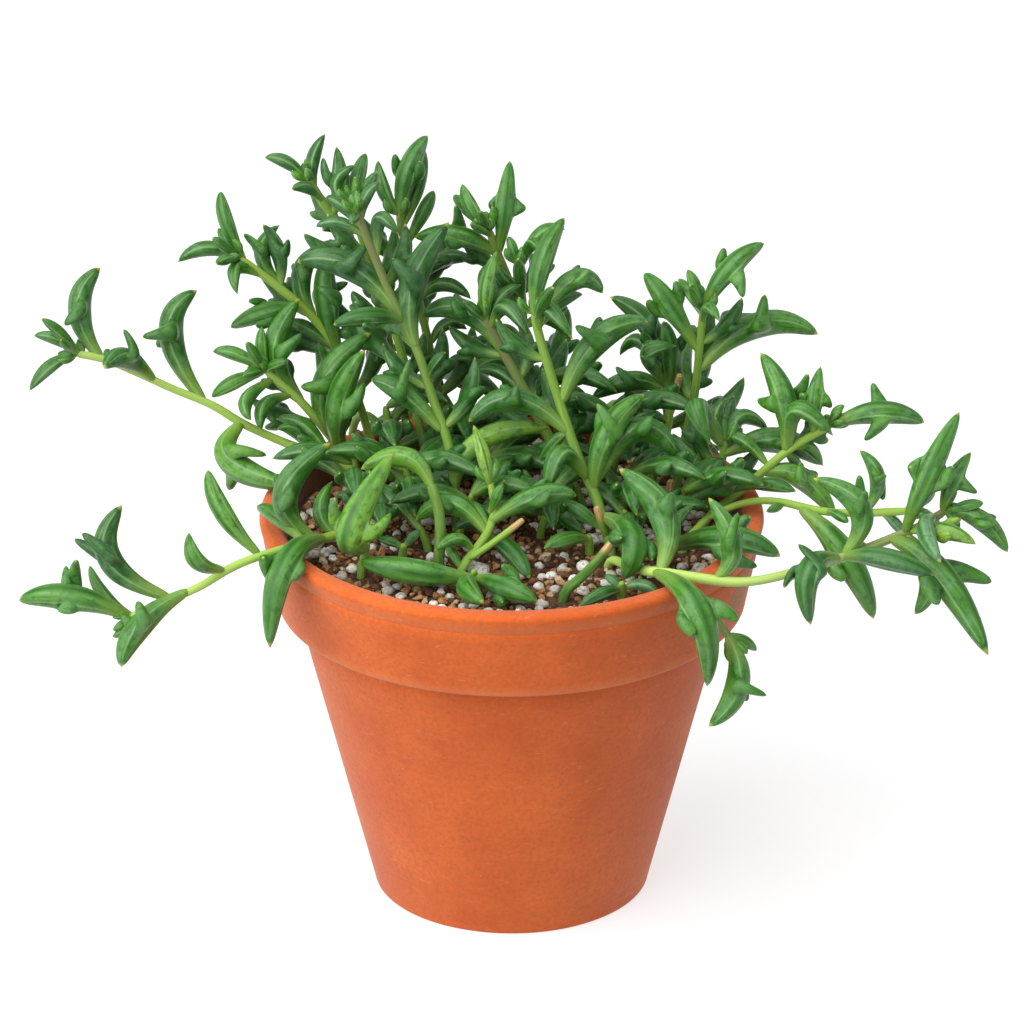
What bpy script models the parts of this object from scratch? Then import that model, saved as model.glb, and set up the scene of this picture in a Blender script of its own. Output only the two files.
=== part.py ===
"""String of dolphins (Curio x peregrinus) growing in a plain clay pot.

Sizes are in millimetres and become metres when a mesh is made. +Z is up and the origin is the
middle of the pot's base, on the surface that the pot stands on. -Y is the front.

Each shoot is one node: a stem with its leaves grown on it. The shoots are laid out on one front
drawing, seen a little from above. A place on it is (right, down) in drawing steps, and a stem's
point also has the distance behind the pot's axis in millimetres.
"""
import math
import random

import bmesh
import bpy
from mathutils import Matrix, Vector
from mathutils.bvhtree import BVHTree

MM = 0.001

# The pot, turned from clay
RIM_RADIUS = 65.0
POT_HEIGHT = 104.5
BAND_HEIGHT = 24.4
BAND_FOOT_RADIUS = 60.6
BODY_TOP_RADIUS = 55.5
BASE_RADIUS = 35.9
BASE_THICKNESS = 6.0
MOUTH_RADIUS = 59.5
FLOOR_RADIUS = 31.0
LIP_ROUND = 1.6
EDGE_ROUND = 1.0
GROOVE_DROP = 5.4
GROOVE_DEPTH = 0.35
DRAIN_RADIUS = 9.0
POT_SEGMENTS = 32

# The potting mix and the holes that the stems stand in
SOIL_HEIGHT = 99.0
CLEARANCE = 0.3
SOIL_SEGMENTS = 28
ROOT_DEPTH = 12.0
HOLE_SIDES = 6
GRAIN_COUNT = 16
GRAIN_SIZES = (2.0, 3.2)

# The front drawing
DRAWING_STEP = 0.2574
DRAWING_MIDDLE = (511.6, 512.0)
DRAWING_TILT = math.radians(24.56)
EYE_DISTANCE = 2042.0
AIM = Vector((0.0, 0.0, 103.9))
ACROSS = Vector((1.0, 0.0, 0.0))
UPWARD = Vector((0.0, math.sin(DRAWING_TILT), math.cos(DRAWING_TILT)))
OUTWARD = Vector((0.0, -math.cos(DRAWING_TILT), math.sin(DRAWING_TILT)))

# Stems and leaves
STEM_SIDES = 5
STEM_RING_SPACING = 14.0
STEM_RADII = (1.35, 1.05)
LEAF_WIDTH = 5.6
LEAF_FULLNESS = 1.05
SLIMNESS = (1.5, 0.165)
LEAF_THICKNESS_SHARE = 1.15
LEAF_RINGS = ((0.0, 0.27), (0.24, 0.7), (0.41, 1.0), (0.62, 0.94), (0.83, 0.6))
MIDDLE_LEAF_RINGS = ((0.0, 0.27), (0.24, 0.72), (0.42, 1.0), (0.68, 0.84))
SHORT_LEAF_RINGS = ((0.0, 0.27), (0.42, 1.0), (0.69, 0.8))
FINLESS_LEAF = 16.5
SHORT_LEAF = 26.0
LONG_LEAF = 38.0
BLADE_START = 0.4
FIN_PLACE = 0.52
FIN_REACH = 0.12
FIN_LONGEST = 0.42
RULE_FIN_WAY = (0.72, 0.55, 0.35)
LEAF_BOW = 0.17
LEAF_GAP = 0.35
SWINGS = (0, 3, -3, 6, -6, 9, -9, 12, -12, 16)
RULE_SWINGS = (0, 3, -3, 5)
SHRINKS = (1.0, 0.86, 0.72)
FILLED_PART = (0.28, 0.8)
FILLING_LENGTHS = (20.0, 25.0)
FILLING_WAY = (0.62, 0.75)
FILLING_BOW = (0.8, -0.55)
GROWN_PART = (0.3, 1.0)
GROWN_LENGTHS = (20.0, 27.0)
TRAILING_LENGTHS = (18.0, 23.0)
TIPWARD_SHORTENING = 0.3

GREEN_LEAF = (0.12, 0.28, 0.07, 1.0)
CLAY = (0.62, 0.23, 0.10, 1.0)
POTTING_MIX = (0.16, 0.11, 0.08, 1.0)


# ---------------------------------------------------------------- the front drawing
def spot_at_depth(right, down, depth):
    step = DRAWING_STEP * (EYE_DISTANCE - depth) / EYE_DISTANCE
    sideways = (right - DRAWING_MIDDLE[0]) * step
    rise = (DRAWING_MIDDLE[1] - down) * step
    return AIM + ACROSS * sideways + UPWARD * rise + OUTWARD * depth


def spot(right, down, back):
    """The place on the drawing that lies this far behind the pot's axis."""
    rise = (DRAWING_MIDDLE[1] - down) * DRAWING_STEP
    depth = (UPWARD.y * rise - back) / (-OUTWARD.y + UPWARD.y * rise / EYE_DISTANCE)
    return spot_at_depth(right, down, depth)


def soil_spot(right, down):
    """The place on the drawing where the soil's surface lies."""
    rise = (DRAWING_MIDDLE[1] - down) * DRAWING_STEP
    drop = SOIL_HEIGHT - AIM.z
    depth = (drop - UPWARD.z * rise) / (OUTWARD.z - UPWARD.z * rise / EYE_DISTANCE)
    return spot_at_depth(right, down, depth)


def depth_of(point):
    return (point - AIM).dot(OUTWARD)


def drawn(point):
    """Where a point in space shows on the drawing."""
    step = DRAWING_STEP * (EYE_DISTANCE - depth_of(point)) / EYE_DISTANCE
    away = point - AIM
    return Vector((DRAWING_MIDDLE[0] + away.dot(ACROSS) / step,
                   DRAWING_MIDDLE[1] - away.dot(UPWARD) / step))


# ---------------------------------------------------------------- the shoots' layout
def leaf(root, tip, over=None, fins=None, wide=LEAF_WIDTH):
    """A leaf from its root on the stem, over the crown of its back, to its tip. tip may add how much
    nearer to the eye it is than the root, over how far its back bows to the eye, both in mm. fins
    are the tips of its two side teeth, the nearer one first; None leaves them to the rule."""
    return {"root": root, "tip": tip, "over": over, "fins": fins, "wide": wide}


NO_FINS = ()

SHOOTS = {
    "shoot_low_left": {
        "stem": [(364, 532), (337, 535, -12), (318, 540, -19), (300, 545, -27), (262, 555, -36),
                 (225, 570, -40), (200, 588, -42), (173, 598, -43), (130, 617, -44)],
        "leaves": [
            leaf((128, 618), (18, 601), (70, 596), ((76, 560), (66, 563)), 6.2),
            leaf((132, 616), (89, 565, -6), (103, 595), NO_FINS, 3.0),
            leaf((171, 598), (123, 504), (106, 559), ((81, 532), (73, 538)), 6.0),
            leaf((190, 592), (123, 667), (139, 625), ((138, 600), (121, 613)), 6.0),
            leaf((226, 571), (189, 531, 8), (195, 562, 6), ((188, 557),), 6.4),
            leaf((260, 555), (208, 469), (222, 512), NO_FINS, 4.6),
            leaf((326, 539), (270, 650, 21), (283, 566, 12), ((263, 557), (286, 580)), 6.4),
            leaf((315, 541), (332, 442, 4), (282, 494), ((279, 513),), 6.4),
            leaf((305, 543), (256, 507, -6), (278, 517), NO_FINS, 5.8),
            leaf((336, 539), (333, 480, -8), (318, 512, 2), NO_FINS, 6.6),
        ],
    },
    "shoot_upper_left": {
        "stem": [(374, 492), (358, 476, 24), (340, 461, 26), (300, 449, 27), (260, 432, 27),
                 (235, 420, 26), (210, 402, 25), (190, 396, 24), (170, 388, 23), (157, 381, 22),
                 (130, 370, 21), (105, 358, 20), (77, 354, 19)],
        "leaves": [
            leaf((207, 400), (198, 290), (168, 332), ((141, 337), (157, 348)), 6.0),
            leaf((157, 381), (104, 369, 16), (124, 356), ((123, 328),), 6.2),
            leaf((106, 358), (101, 267), (77, 308), ((64, 326), (72, 322)), 5.6),
            leaf((78, 354), (29, 392), (48, 366), NO_FINS, 3.8),
            leaf((80, 354), (33, 336), (55, 337), NO_FINS, 3.4),
            leaf((82, 354), (42, 319), (60, 331), NO_FINS, 3.0),
            leaf((78, 354), (62, 340, 5), None, NO_FINS, 3.0),
            leaf((84, 354), (80, 338, -4), None, NO_FINS, 3.0),
            leaf((241, 423), (300, 488, 12), (228, 462, 0), ((281, 453), (229, 491)), 6.6),
            leaf((310, 452), (277, 430, 5), (292, 428), NO_FINS, 5.0),
            leaf((330, 457), (275, 419, -2), (305, 424), NO_FINS, 5.0),
        ],
    },
    "shoot_top_left": {
        "filling": 4,
        "stem": [(378, 472), (372, 445, 41), (360, 405, 44), (347, 370, 45), (335, 345, 45),
                 (318, 322, 44), (305, 310, 43), (293, 297, 42), (280, 288, 41), (265, 277, 40),
                 (250, 265, 39), (240, 258, 38)],
        "branches": [[(374, 452, 40), (366, 443, 37), (357, 431, 33)]],
        "leaves": [
            leaf((246, 262), (221, 191), (226, 222), NO_FINS, 3.8),
            leaf((285, 291), (281, 224), (259, 252), ((243, 233),), 4.6),
            leaf((264, 277), (238, 296, 8), (234, 266), ((252, 243),), 5.0),
            leaf((242, 259), (177, 263), (206, 246), NO_FINS, 5.0),
            leaf((242, 259), (217, 227), None, NO_FINS, 3.0),
            leaf((240, 258), (213, 238), None, NO_FINS, 3.0),
            leaf((241, 258), (216, 264, 8), None, NO_FINS, 3.0),
            leaf((316, 320), (325, 245), (299, 276), None, 5.4),
            leaf((340, 355), (328, 255, 6), None, ((317, 287), (350, 282)), 6.0),
            leaf((337, 348), (287, 322), (307, 326), NO_FINS, 5.0),
            leaf((302, 307), (230, 328), (264, 312), None, 5.2),
        ],
    },
    "shoot_inner_left": {
        "filling": 4,
        "stem": [(356, 482), (348, 458, 34), (330, 436, 35), (305, 405, 33), (293, 395, 32),
                 (280, 382, 31), (266, 371, 30)],
        "leaves": [
            leaf((302, 402), (301, 281), (268, 345), ((303, 322),), 6.4),
            leaf((266, 372), (289, 361, 6), None, NO_FINS, 5.0),
            leaf((266, 372), (212, 352), (235, 352), NO_FINS, 5.4),
            leaf((267, 372), (211, 398), (232, 382), NO_FINS, 5.4),
            leaf((274, 377), (252, 421, 8), (244, 400), NO_FINS, 5.4),
            leaf((292, 394), (262, 432, 8), (262, 405), ((254, 413), (284, 416)), 5.0),
            leaf((267, 372), (262, 326), None, NO_FINS, 3.4),
            leaf((266, 371), (247, 342, 3), None, NO_FINS, 3.4),
            leaf((266, 371), (243, 376, 6), None, NO_FINS, 3.2),
            leaf((333, 440), (373, 333), (324, 380), ((300, 387), (319, 342)), 6.4),
            leaf((344, 452), (366, 350, 8), (338, 402), ((365, 382),), 6.8),
        ],
    },
    "shoot_top": {
        "filling": 6,
        "stem": [(415, 478), (410, 440, 38), (400, 395, 42), (390, 345, 44), (376, 295, 45),
                 (362, 262, 45), (350, 240, 45), (330, 213, 45), (320, 198, 45), (309, 180, 44)],
        "leaves": [
            leaf((311, 183), (264, 158), (286, 160), NO_FINS, 5.0),
            leaf((315, 190), (326, 133), (311, 160), NO_FINS, 5.2),
            leaf((322, 202), (292, 191, 6), (305, 186), NO_FINS, 4.0),
            leaf((310, 181), (304, 163, 3), None, NO_FINS, 2.8),
            leaf((334, 218), (336, 145), (341, 182), ((320, 153),), 4.4),
            leaf((352, 244), (322, 232, 8), (336, 226), NO_FINS, 4.4),
        ],
    },
    "shoot_behind_middle": {
        "filling": 5,
        "stem": [(432, 496), (430, 470, 25), (418, 420, 30), (405, 365, 33), (390, 315, 34),
                 (372, 265, 34), (358, 228, 33), (351, 202, 32)],
        "leaves": [
            leaf((353, 208), (357, 164), (334, 184), NO_FINS, 5.8),
            leaf((353, 208), (366, 152, -5), None, NO_FINS, 4.4),
            leaf((356, 218), (378, 172), None, NO_FINS, 4.0),
            leaf((352, 204), (356, 193, 6), None, NO_FINS, 3.0),
            leaf((376, 276), (330, 252, -6), (350, 250), None, 5.0),
            leaf((396, 335), (352, 290, 6), (364, 310), None, 5.4),
        ],
    },
    "shoot_middle": {
        "filling": 5,
        "stem": [(457, 528), (456, 495, 4), (451, 460, 8), (447, 434, 11), (432, 400, 14),
                 (425, 370, 16), (415, 345, 18), (400, 315, 19), (388, 290, 20), (378, 265, 20),
                 (368, 240, 20), (360, 225, 20), (357, 212, 20)],
        "thick": (1.45, 1.1),
        "leaves": [
            leaf((399, 313), (296, 262), (350, 264), ((368, 243),), 6.4),
            leaf((418, 350), (450, 221), (410, 285), ((391, 257),), 6.4),
            leaf((366, 237), (315, 227), (338, 221), NO_FINS, 4.6),
            leaf((377, 262), (400, 237, 6), (379, 215), NO_FINS, 5.0),
            leaf((362, 229), (325, 198), (341, 203), NO_FINS, 4.4),
            leaf((360, 224), (381, 181), (364, 197), NO_FINS, 4.0),
            leaf((358, 214), (352, 224, 7), None, NO_FINS, 3.0),
            leaf((446, 430), (371, 380), (403, 391), ((411, 356),), 6.8),
            leaf((403, 322), (333, 325, 8), (368, 316), None, 5.4),
            leaf((427, 378), (446, 352, 6), None, NO_FINS, 4.0),
            leaf((456, 492), (550, 428), (480, 438), NO_FINS, 5.2),
        ],
    },
    "shoot_behind_right_of_middle": {
        "filling": 5,
        "stem": [(448, 474), (446, 440, 41), (438, 395, 46), (428, 340, 49), (415, 285, 50),
                 (405, 245, 50), (399, 215, 49)],
        "leaves": [
            leaf((400, 222), (428, 135), (407, 172), None, 5.2),
            leaf((401, 230), (420, 143, -8), (420, 180), NO_FINS, 3.6),
            leaf((399, 216), (378, 159), (382, 190), NO_FINS, 4.4),
            leaf((405, 245), (434, 190), (425, 210), NO_FINS, 3.8),
            leaf((414, 285), (476, 262), (445, 256), ((437, 256),), 5.4),
            leaf((418, 300), (472, 300, 5), (446, 282), None, 5.2),
            leaf((428, 345), (468, 330, -5), (446, 322), None, 5.2),
        ],
    },
    "shoot_back_middle": {
        "filling": 5,
        "stem": [(548, 458), (545, 430, 50), (538, 400, 52), (528, 360, 52), (523, 330, 50),
                 (516, 300, 48), (505, 270, 46), (496, 250, 45), (489, 230, 44)],
        "leaves": [
            leaf((497, 254), (510, 160), (505, 207), ((526, 208), (488, 205)), 4.6),
            leaf((490, 235), (462, 183), (470, 208), NO_FINS, 4.4),
            leaf((490, 232), (453, 194), (466, 206), NO_FINS, 4.2),
            leaf((497, 256), (414, 238), (458, 235), ((455, 205),), 5.4),
            leaf((491, 236), (470, 224, 5), None, NO_FINS, 3.0),
            leaf((489, 231), (480, 213, 3), None, NO_FINS, 3.4),
            leaf((502, 264), (482, 294, 6), (484, 272), NO_FINS, 5.0),
            leaf((527, 350), (478, 348, -6), (504, 328), None, 5.6),
        ],
    },
    "shoot_purple_stem": {
        "filling": 5,
        "stem": [(585, 516), (578, 495, 12), (560, 460, 17), (548, 435, 20), (535, 410, 22),
                 (520, 383, 24), (505, 355, 26), (490, 330, 27), (485, 318, 27)],
        "thick": (1.6, 1.3),
        "leaves": [
            leaf((487, 323), (497, 250), (485, 288), NO_FINS, 4.4),
            leaf((504, 352), (421, 317), (463, 308), None, 5.6),
            leaf((490, 330), (530, 340, 12), (508, 304), None, 6.2),
            leaf((489, 328), (522, 284), (498, 298), NO_FINS, 5.0),
            leaf((486, 320), (463, 301, 5), None, NO_FINS, 4.0),
            leaf((572, 485), (589, 542, 20), (560, 512), None, 6.4),
            leaf((527, 396), (478, 372, -6), (500, 370), None, 5.6),
        ],
    },
    "shoot_back_centre": {
        "filling": 5,
        "stem": [(520, 470), (520, 440, 40), (520, 395, 42), (522, 350, 42), (524, 310, 41),
                 (520, 280, 40), (518, 264, 40)],
        "leaves": [
            leaf((519, 268), (566, 230), (541, 231), NO_FINS, 5.0),
            leaf((518, 265), (508, 236), None, NO_FINS, 3.0),
            leaf((519, 270), (540, 253, 8), (532, 242), NO_FINS, 4.4),
            leaf((522, 290), (494, 262, 6), (503, 280), NO_FINS, 4.6),
            leaf((523, 302), (518, 259, 9), None, NO_FINS, 3.4),
            leaf((523, 325), (570, 338, -4), (548, 316), None, 5.6),
            leaf((521, 380), (468, 378, 5), (495, 358), None, 5.8),
        ],
    },
    "shoot_right_of_middle": {
        "filling": 5,
        "stem": [(612, 552), (603, 522, -8), (595, 491, -4), (582, 468, 0), (569, 431, 4),
                 (556, 392, 7), (545, 355, 9), (537, 330, 10), (534, 314, 10)],
        "thick": (1.55, 1.2),
        "branches": [[(607, 538, -11), (601, 521, -13), (596, 506, -13)]],
        "leaves": [
            leaf((534, 318), (565, 217), (541, 263), NO_FINS, 5.2),
            leaf((538, 332), (574, 342, 6), (545, 303), None, 5.6),
            leaf((535, 322), (603, 294, -4), (575, 277), None, 5.4),
            leaf((537, 330), (592, 287, 4), (560, 296), NO_FINS, 4.8),
            leaf((535, 322), (553, 289, 3), None, NO_FINS, 3.0),
            leaf((560, 404), (649, 322), (597, 338), ((574, 325),), 6.2),
            leaf((570, 436), (468, 423), (514, 397), ((517, 384),), 5.8),
            leaf((590, 482), (546, 504, 10), (558, 450, 3), None, 6.4),
            leaf((595, 490), (645, 394), (607, 432), ((596, 402),), 6.0),
            leaf((592, 486), (680, 460, -3), (636, 426), None, 6.4),
            leaf((603, 515), (622, 580, 25), (634, 540, 14), ((652, 560),), 6.8),
            leaf((604, 530), (560, 500, -3), (580, 512), NO_FINS, 4.6),
            leaf((569, 432), (540, 462, -6), None, None, 5.4),
        ],
    },
    "shoot_top_right": {
        "filling": 4,
        "stem": [(676, 492), (682, 450, 28), (690, 420, 29), (695, 395, 29), (698, 363, 28),
                 (701, 335, 27), (703, 310, 26)],
        "leaves": [
            leaf((700, 352), (644, 273), (668, 303), None, 5.2),
            leaf((703, 312), (765, 243), (728, 269), ((743, 298),), 5.0),
            leaf((703, 311), (687, 269), None, NO_FINS, 3.4),
            leaf((702, 314), (689, 285, 4), None, NO_FINS, 3.0),
            leaf((702, 322), (719, 323, 6), (708, 306), NO_FINS, 4.0),
            leaf((697, 373), (819, 335), (758, 322), ((765, 293), (733, 317)), 6.2),
            leaf((694, 402), (692, 338, -8), (681, 370), NO_FINS, 4.6),
            leaf((702, 315), (678, 278, -6), None, NO_FINS, 3.2),
        ],
    },
    "shoot_centre_right": {
        "filling": 4,
        "stem": [(648, 492), (661, 455, 31), (669, 425, 34), (671, 400, 35), (668, 382, 35)],
        "branches": [[(671, 404, 34), (676, 390, 31), (680, 374, 29)]],
        "leaves": [
            leaf((669, 387), (609, 297), (652, 327), ((659, 298),), 5.2),
            leaf((670, 392), (662, 322, -5), (669, 352), ((686, 330),), 5.0),
            leaf((668, 384), (678, 346, 14), (645, 352, 6), None, 5.0),
            leaf((670, 392), (591, 399), (632, 379), ((615, 366),), 5.6),
            leaf((668, 382), (619, 357, -6), (640, 338), NO_FINS, 4.4),
            leaf((670, 408), (610, 408, -8), (640, 395), None, 5.4),
            leaf((669, 424), (640, 440, 6), (650, 415), NO_FINS, 5.0),
        ],
    },
    "shoot_right_rim": {
        "filling": 3,
        "stem": [(706, 506), (716, 492, 15), (720, 475, 15), (723, 455, 15), (725, 441, 15)],
        "leaves": [
            leaf((723, 450), (712, 449, 16), (694, 402, 6), None, 6.0),
            leaf((724, 444), (727, 397), (714, 418), NO_FINS, 4.6),
            leaf((719, 479), (672, 432), (690, 459), None, 6.4),
            leaf((719, 480), (704, 470, 3), None, NO_FINS, 3.0),
            leaf((723, 455), (743, 428), None, NO_FINS, 4.0),
            leaf((723, 452), (770, 432, -6), (740, 414), None, 6.0),
            leaf((723, 456), (823, 466, -8), (778, 438), None, 6.6),
        ],
    },
    "shoot_upper_right": {
        "filling": 3,
        "stem": [(680, 550), (697, 530, -8), (712, 513, 0), (730, 499, 8), (748, 485, 9),
                 (762, 473, 8), (788, 449, 8), (814, 434, 8), (830, 426, 8)],
        "branches": [[(706, 520, -3), (728, 507, -4), (755, 500, -2), (782, 501, -3), (821, 512, -8),
                   (869, 513, -10), (908, 511, -10)]],
        "leaves": [
            leaf((784, 453), (760, 352), (786, 402), ((808, 373), (759, 400)), 6.4),
            leaf((813, 434), (821, 365), (814, 400), ((803, 394), (830, 407)), 4.2),
            leaf((829, 427), (925, 423), (880, 411), ((864, 441), (872, 382)), 6.0),
            leaf((788, 449), (835, 438, 10), (797, 405, 4), None, 6.2),
            leaf((763, 473), (836, 518), (802, 476), ((801, 461),), 5.8),
            leaf((746, 487), (797, 492, 8), (770, 483), NO_FINS, 5.0),
            leaf((820, 431), (827, 414, 3), None, NO_FINS, 3.0),
            leaf((790, 448), (823, 467, -6), (810, 446), NO_FINS, 4.8),
            leaf((786, 451), (803, 476, -5), None, NO_FINS, 4.0),
            leaf((770, 465), (725, 436, -9), (745, 440), None, 6.0),
            leaf((800, 507), (874, 620), (846, 556), None, 6.6),
            leaf((866, 513), (858, 449, 4), (880, 477), ((887, 475), (884, 509)), 5.4),
            leaf((782, 501), (765, 512, -3), None, NO_FINS, 4.0),
            leaf((880, 513), (905, 538, -4), None, NO_FINS, 4.0),
            leaf((826, 512), (848, 523, 4), None, NO_FINS, 3.0),
            leaf((906, 511), (935, 490, -8), None, None, 5.0),
            leaf((907, 511), (940, 524, -4), None, NO_FINS, 4.4),
        ],
    },
    "shoot_low_right": {
        "stem": [(607, 562), (640, 570, -36), (676, 574, -46), (710, 580, -50), (747, 583, -52),
                 (776, 577, -53), (839, 559, -50), (892, 538, -44), (914, 530, -41),
                 (931, 521, -39), (945, 511, -38)],
        "thick": (1.5, 1.2),
        "branches": [[(672, 573, -45), (684, 579, -49), (693, 590, -53), (706, 606, -55),
                      (718, 621, -56), (729, 637, -56)]],
        "leaves": [
            leaf((652, 573), (707, 688, 8), (700, 612, 17), ((696, 637), (739, 622)), 6.6),
            leaf((727, 633), (757, 651, -4), None, NO_FINS, 4.8),
            leaf((728, 635), (708, 727), (740, 685), ((768, 696),), 6.2),
            leaf((713, 581), (708, 497), (734, 545), ((739, 505),), 6.2),
            leaf((838, 559), (811, 626, 8), (808, 570, 7), ((784, 588), (797, 543)), 6.4),
            leaf((905, 534), (914, 615, -5), (932, 575), None, 5.0),
            leaf((890, 539), (989, 657, 10), (940, 572), ((939, 606), (993, 583)), 6.6),
            leaf((842, 558), (934, 576, 4), (885, 558), NO_FINS, 5.4),
            leaf((660, 573), (618, 468, -12), (666, 515, -2), ((672, 492),), 6.8),
            leaf((906, 533), (960, 411), (928, 475), ((910, 467),), 5.4),
            leaf((943, 512), (972, 451), (952, 480), ((986, 498),), 4.2),
            leaf((945, 511), (984, 503, 3), None, NO_FINS, 3.6),
            leaf((944, 511), (1008, 553), (982, 519), None, 5.4),
            leaf((908, 532), (977, 545, 6), (945, 529), None, 5.0),
            leaf((936, 518), (940, 563, 12), (924, 530), NO_FINS, 5.4),
            leaf((845, 557), (812, 478), (863, 508), ((867, 490), (858, 461)), 6.2),
            leaf((945, 511), (948, 480, -3), None, NO_FINS, 3.4),
            leaf((945, 511), (958, 533, 8), None, NO_FINS, 3.4),
        ],
    },
    "shoot_right_inside": {
        "stem": [(662, 560), (664, 544, -20)],
        "leaves": [
            leaf((664, 550), (781, 557, 16), (728, 537, 5), ((759, 567),), 6.2),
            leaf((664, 548), (695, 503), (672, 525), ((660, 497),), 5.2),
        ],
    },
    "shoot_front_middle": {
        "stem": [(456, 580), (464, 565, -30), (475, 550, -26), (488, 535, -22), (497, 518, -20),
                 (493, 495, -18), (490, 482, -17)],
        "thick": (1.35, 1.0),
        "branches": [[(468, 560, -29), (500, 538, -29), (524, 519, -28)]],
        "leaves": [
            leaf((490, 533), (415, 521), (452, 502), None, 5.6),
            leaf((496, 523), (577, 496), (537, 495), None, 5.4),
            leaf((474, 551), (434, 552, 6), (456, 537), NO_FINS, 5.0),
            leaf((491, 488), (473, 424), (484, 456), ((504, 437), (470, 446)), 3.6),
            leaf((496, 514), (503, 484), None, NO_FINS, 3.0),
            leaf((491, 531), (460, 506, -7), (478, 508), NO_FINS, 5.0),
            leaf((462, 569), (446, 545, -3), None, NO_FINS, 3.4),
        ],
    },
    "shoot_thick_arch": {
        "stem": [(438, 572), (440, 548, -25), (441, 520, -23), (438, 500, -21), (431, 485, -20)],
        "thick": (1.75, 1.5),
        "leaves": [leaf((433, 488), (360, 470, -5), (406, 455), NO_FINS, 6.6)],
    },
    "shoot_front_flat": {
        "stem": [(474, 584), (474, 571, -35.5)],
        "leaves": [
            leaf((473, 580), (358, 561, 1), (415, 572), NO_FINS, 6.8),
            leaf((475, 580), (538, 602, 17), (505, 587), ((501, 565),), 6.2),
            leaf((474, 578), (484, 603, 22), (466, 588), NO_FINS, 6.2),
        ],
    },
    "shoot_upright_leaf": {
        "stem": [(360, 574), (364, 558, -25), (368, 543, -24)],
        "leaves": [leaf((367, 545), (396, 450, 6), (350, 530, 11), ((335, 497), (397, 510)), 7.2)],
    },
    "shoot_front_low_right": {
        "stem": [(622, 596), (622, 583, -43)],
        "leaves": [
            leaf((622, 591), (577, 608, 6), (603, 592), NO_FINS, 5.4),
            leaf((622, 589), (604, 575, -2), None, NO_FINS, 3.6),
            leaf((622, 589), (662, 598, 2), (645, 584), NO_FINS, 5.0),
        ],
    },
    "shoot_lying_leaf": {
        "stem": [(590, 550), (588, 536, -13)],
        "leaves": [leaf((588, 540), (543, 549, 12), (566, 538), NO_FINS, 5.0)],
    },
    "shoot_dark_leaf": {
        "stem": [(486, 546), (486, 532, -11)],
        "leaves": [
            leaf((486, 538), (530, 579, 12), (511, 550), NO_FINS, 5.4),
            leaf((486, 538), (452, 531, 3), (470, 521), NO_FINS, 5.0),
        ],
    },
    "cut_stub_front": {
        "stem": [(561, 598), (573, 585, -44), (590, 569, -36), (604, 554, -31), (613, 541, -29)],
        "thick": (1.6, 1.35),
        "leaves": [],
    },
    "cut_stub_right": {
        "stem": [(668, 516), (670, 500, 8), (671, 479, 8)],
        "thick": (1.5, 1.35),
        "leaves": [leaf((670, 500), (640, 516, 5), None, None, 5.0)],
    },
    "shoot_inside_left": {
        "stem": [(402, 560), (404, 545, -20)],
        "leaves": [
            leaf((404, 549), (421, 530), None, NO_FINS, 4.6),
            leaf((404, 549), (377, 539, -3), None, NO_FINS, 4.6),
        ],
    },
}

# Short shoots that fill the middle of the pot: (across, back, height) in mm
INNER_SHOOTS = ((-25, 11, 13), (-7, 22, 11), (12, 28, 9), (-14, -5, 12), (7, -3, 12),
                (28, 10, 12), (-13, 41, 24), (-1, 48, 26), (12, 40, 24), (-31, 33, 20),
                (25, 27, 22), (-43, 12, 16), (-34, -2, 8), (-21, -11, 6),
                (31, -3, 8), (41, 4, 10))
INNER_LEAVES = 6
# Shoots that trail over the back rim: (compass angle, length below the rim)
BACK_SHOOTS = ((48, 24), (65, 52), (113, 36), (127, 46))
BACK_ROOT_RADIUS = 47.0
BACK_WALL_GAP = 5.4
BACK_LEAVES = 7
LEAF_TURN = math.radians(137.5)
SPECK_FACES = 12


# ---------------------------------------------------------------- meshes and objects
def material(name, colour, roughness):
    made = bpy.data.materials.new(name)
    made.use_nodes = True
    shader = made.node_tree.nodes["Principled BSDF"]
    shader.inputs["Base Color"].default_value = colour
    shader.inputs["Roughness"].default_value = roughness
    shader.inputs["Metallic"].default_value = 0.0
    return made


def coat(body, name, colour, roughness):
    """Gives the body its one material."""
    body.data.materials.clear()
    body.data.materials.append(material(name, colour, roughness))


def solid(name, points, faces):
    """An object from points in millimetres."""
    mesh = bpy.data.meshes.new(name)
    mesh.from_pydata([Vector(p) * MM for p in points], [], faces)
    made = bpy.data.objects.new(name, mesh)
    bpy.context.scene.collection.objects.link(made)
    return made


def fuse(body, pieces, operation="UNION", solver="EXACT"):
    """Joins the pieces to the body, or cuts them from it, and removes them."""
    group = bpy.data.collections.new("pieces")
    bpy.context.scene.collection.children.link(group)
    for piece in pieces:
        bpy.context.scene.collection.objects.unlink(piece)
        group.objects.link(piece)
    boolean = body.modifiers.new("join", "BOOLEAN")
    boolean.operation = operation
    boolean.operand_type = "COLLECTION"
    boolean.collection = group
    boolean.solver = solver
    graph = bpy.context.evaluated_depsgraph_get()
    joined = bpy.data.meshes.new_from_object(body.evaluated_get(graph))
    body.modifiers.clear()
    body.data = joined
    for piece in pieces:
        bpy.data.objects.remove(piece)
    bpy.data.collections.remove(group)


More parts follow.
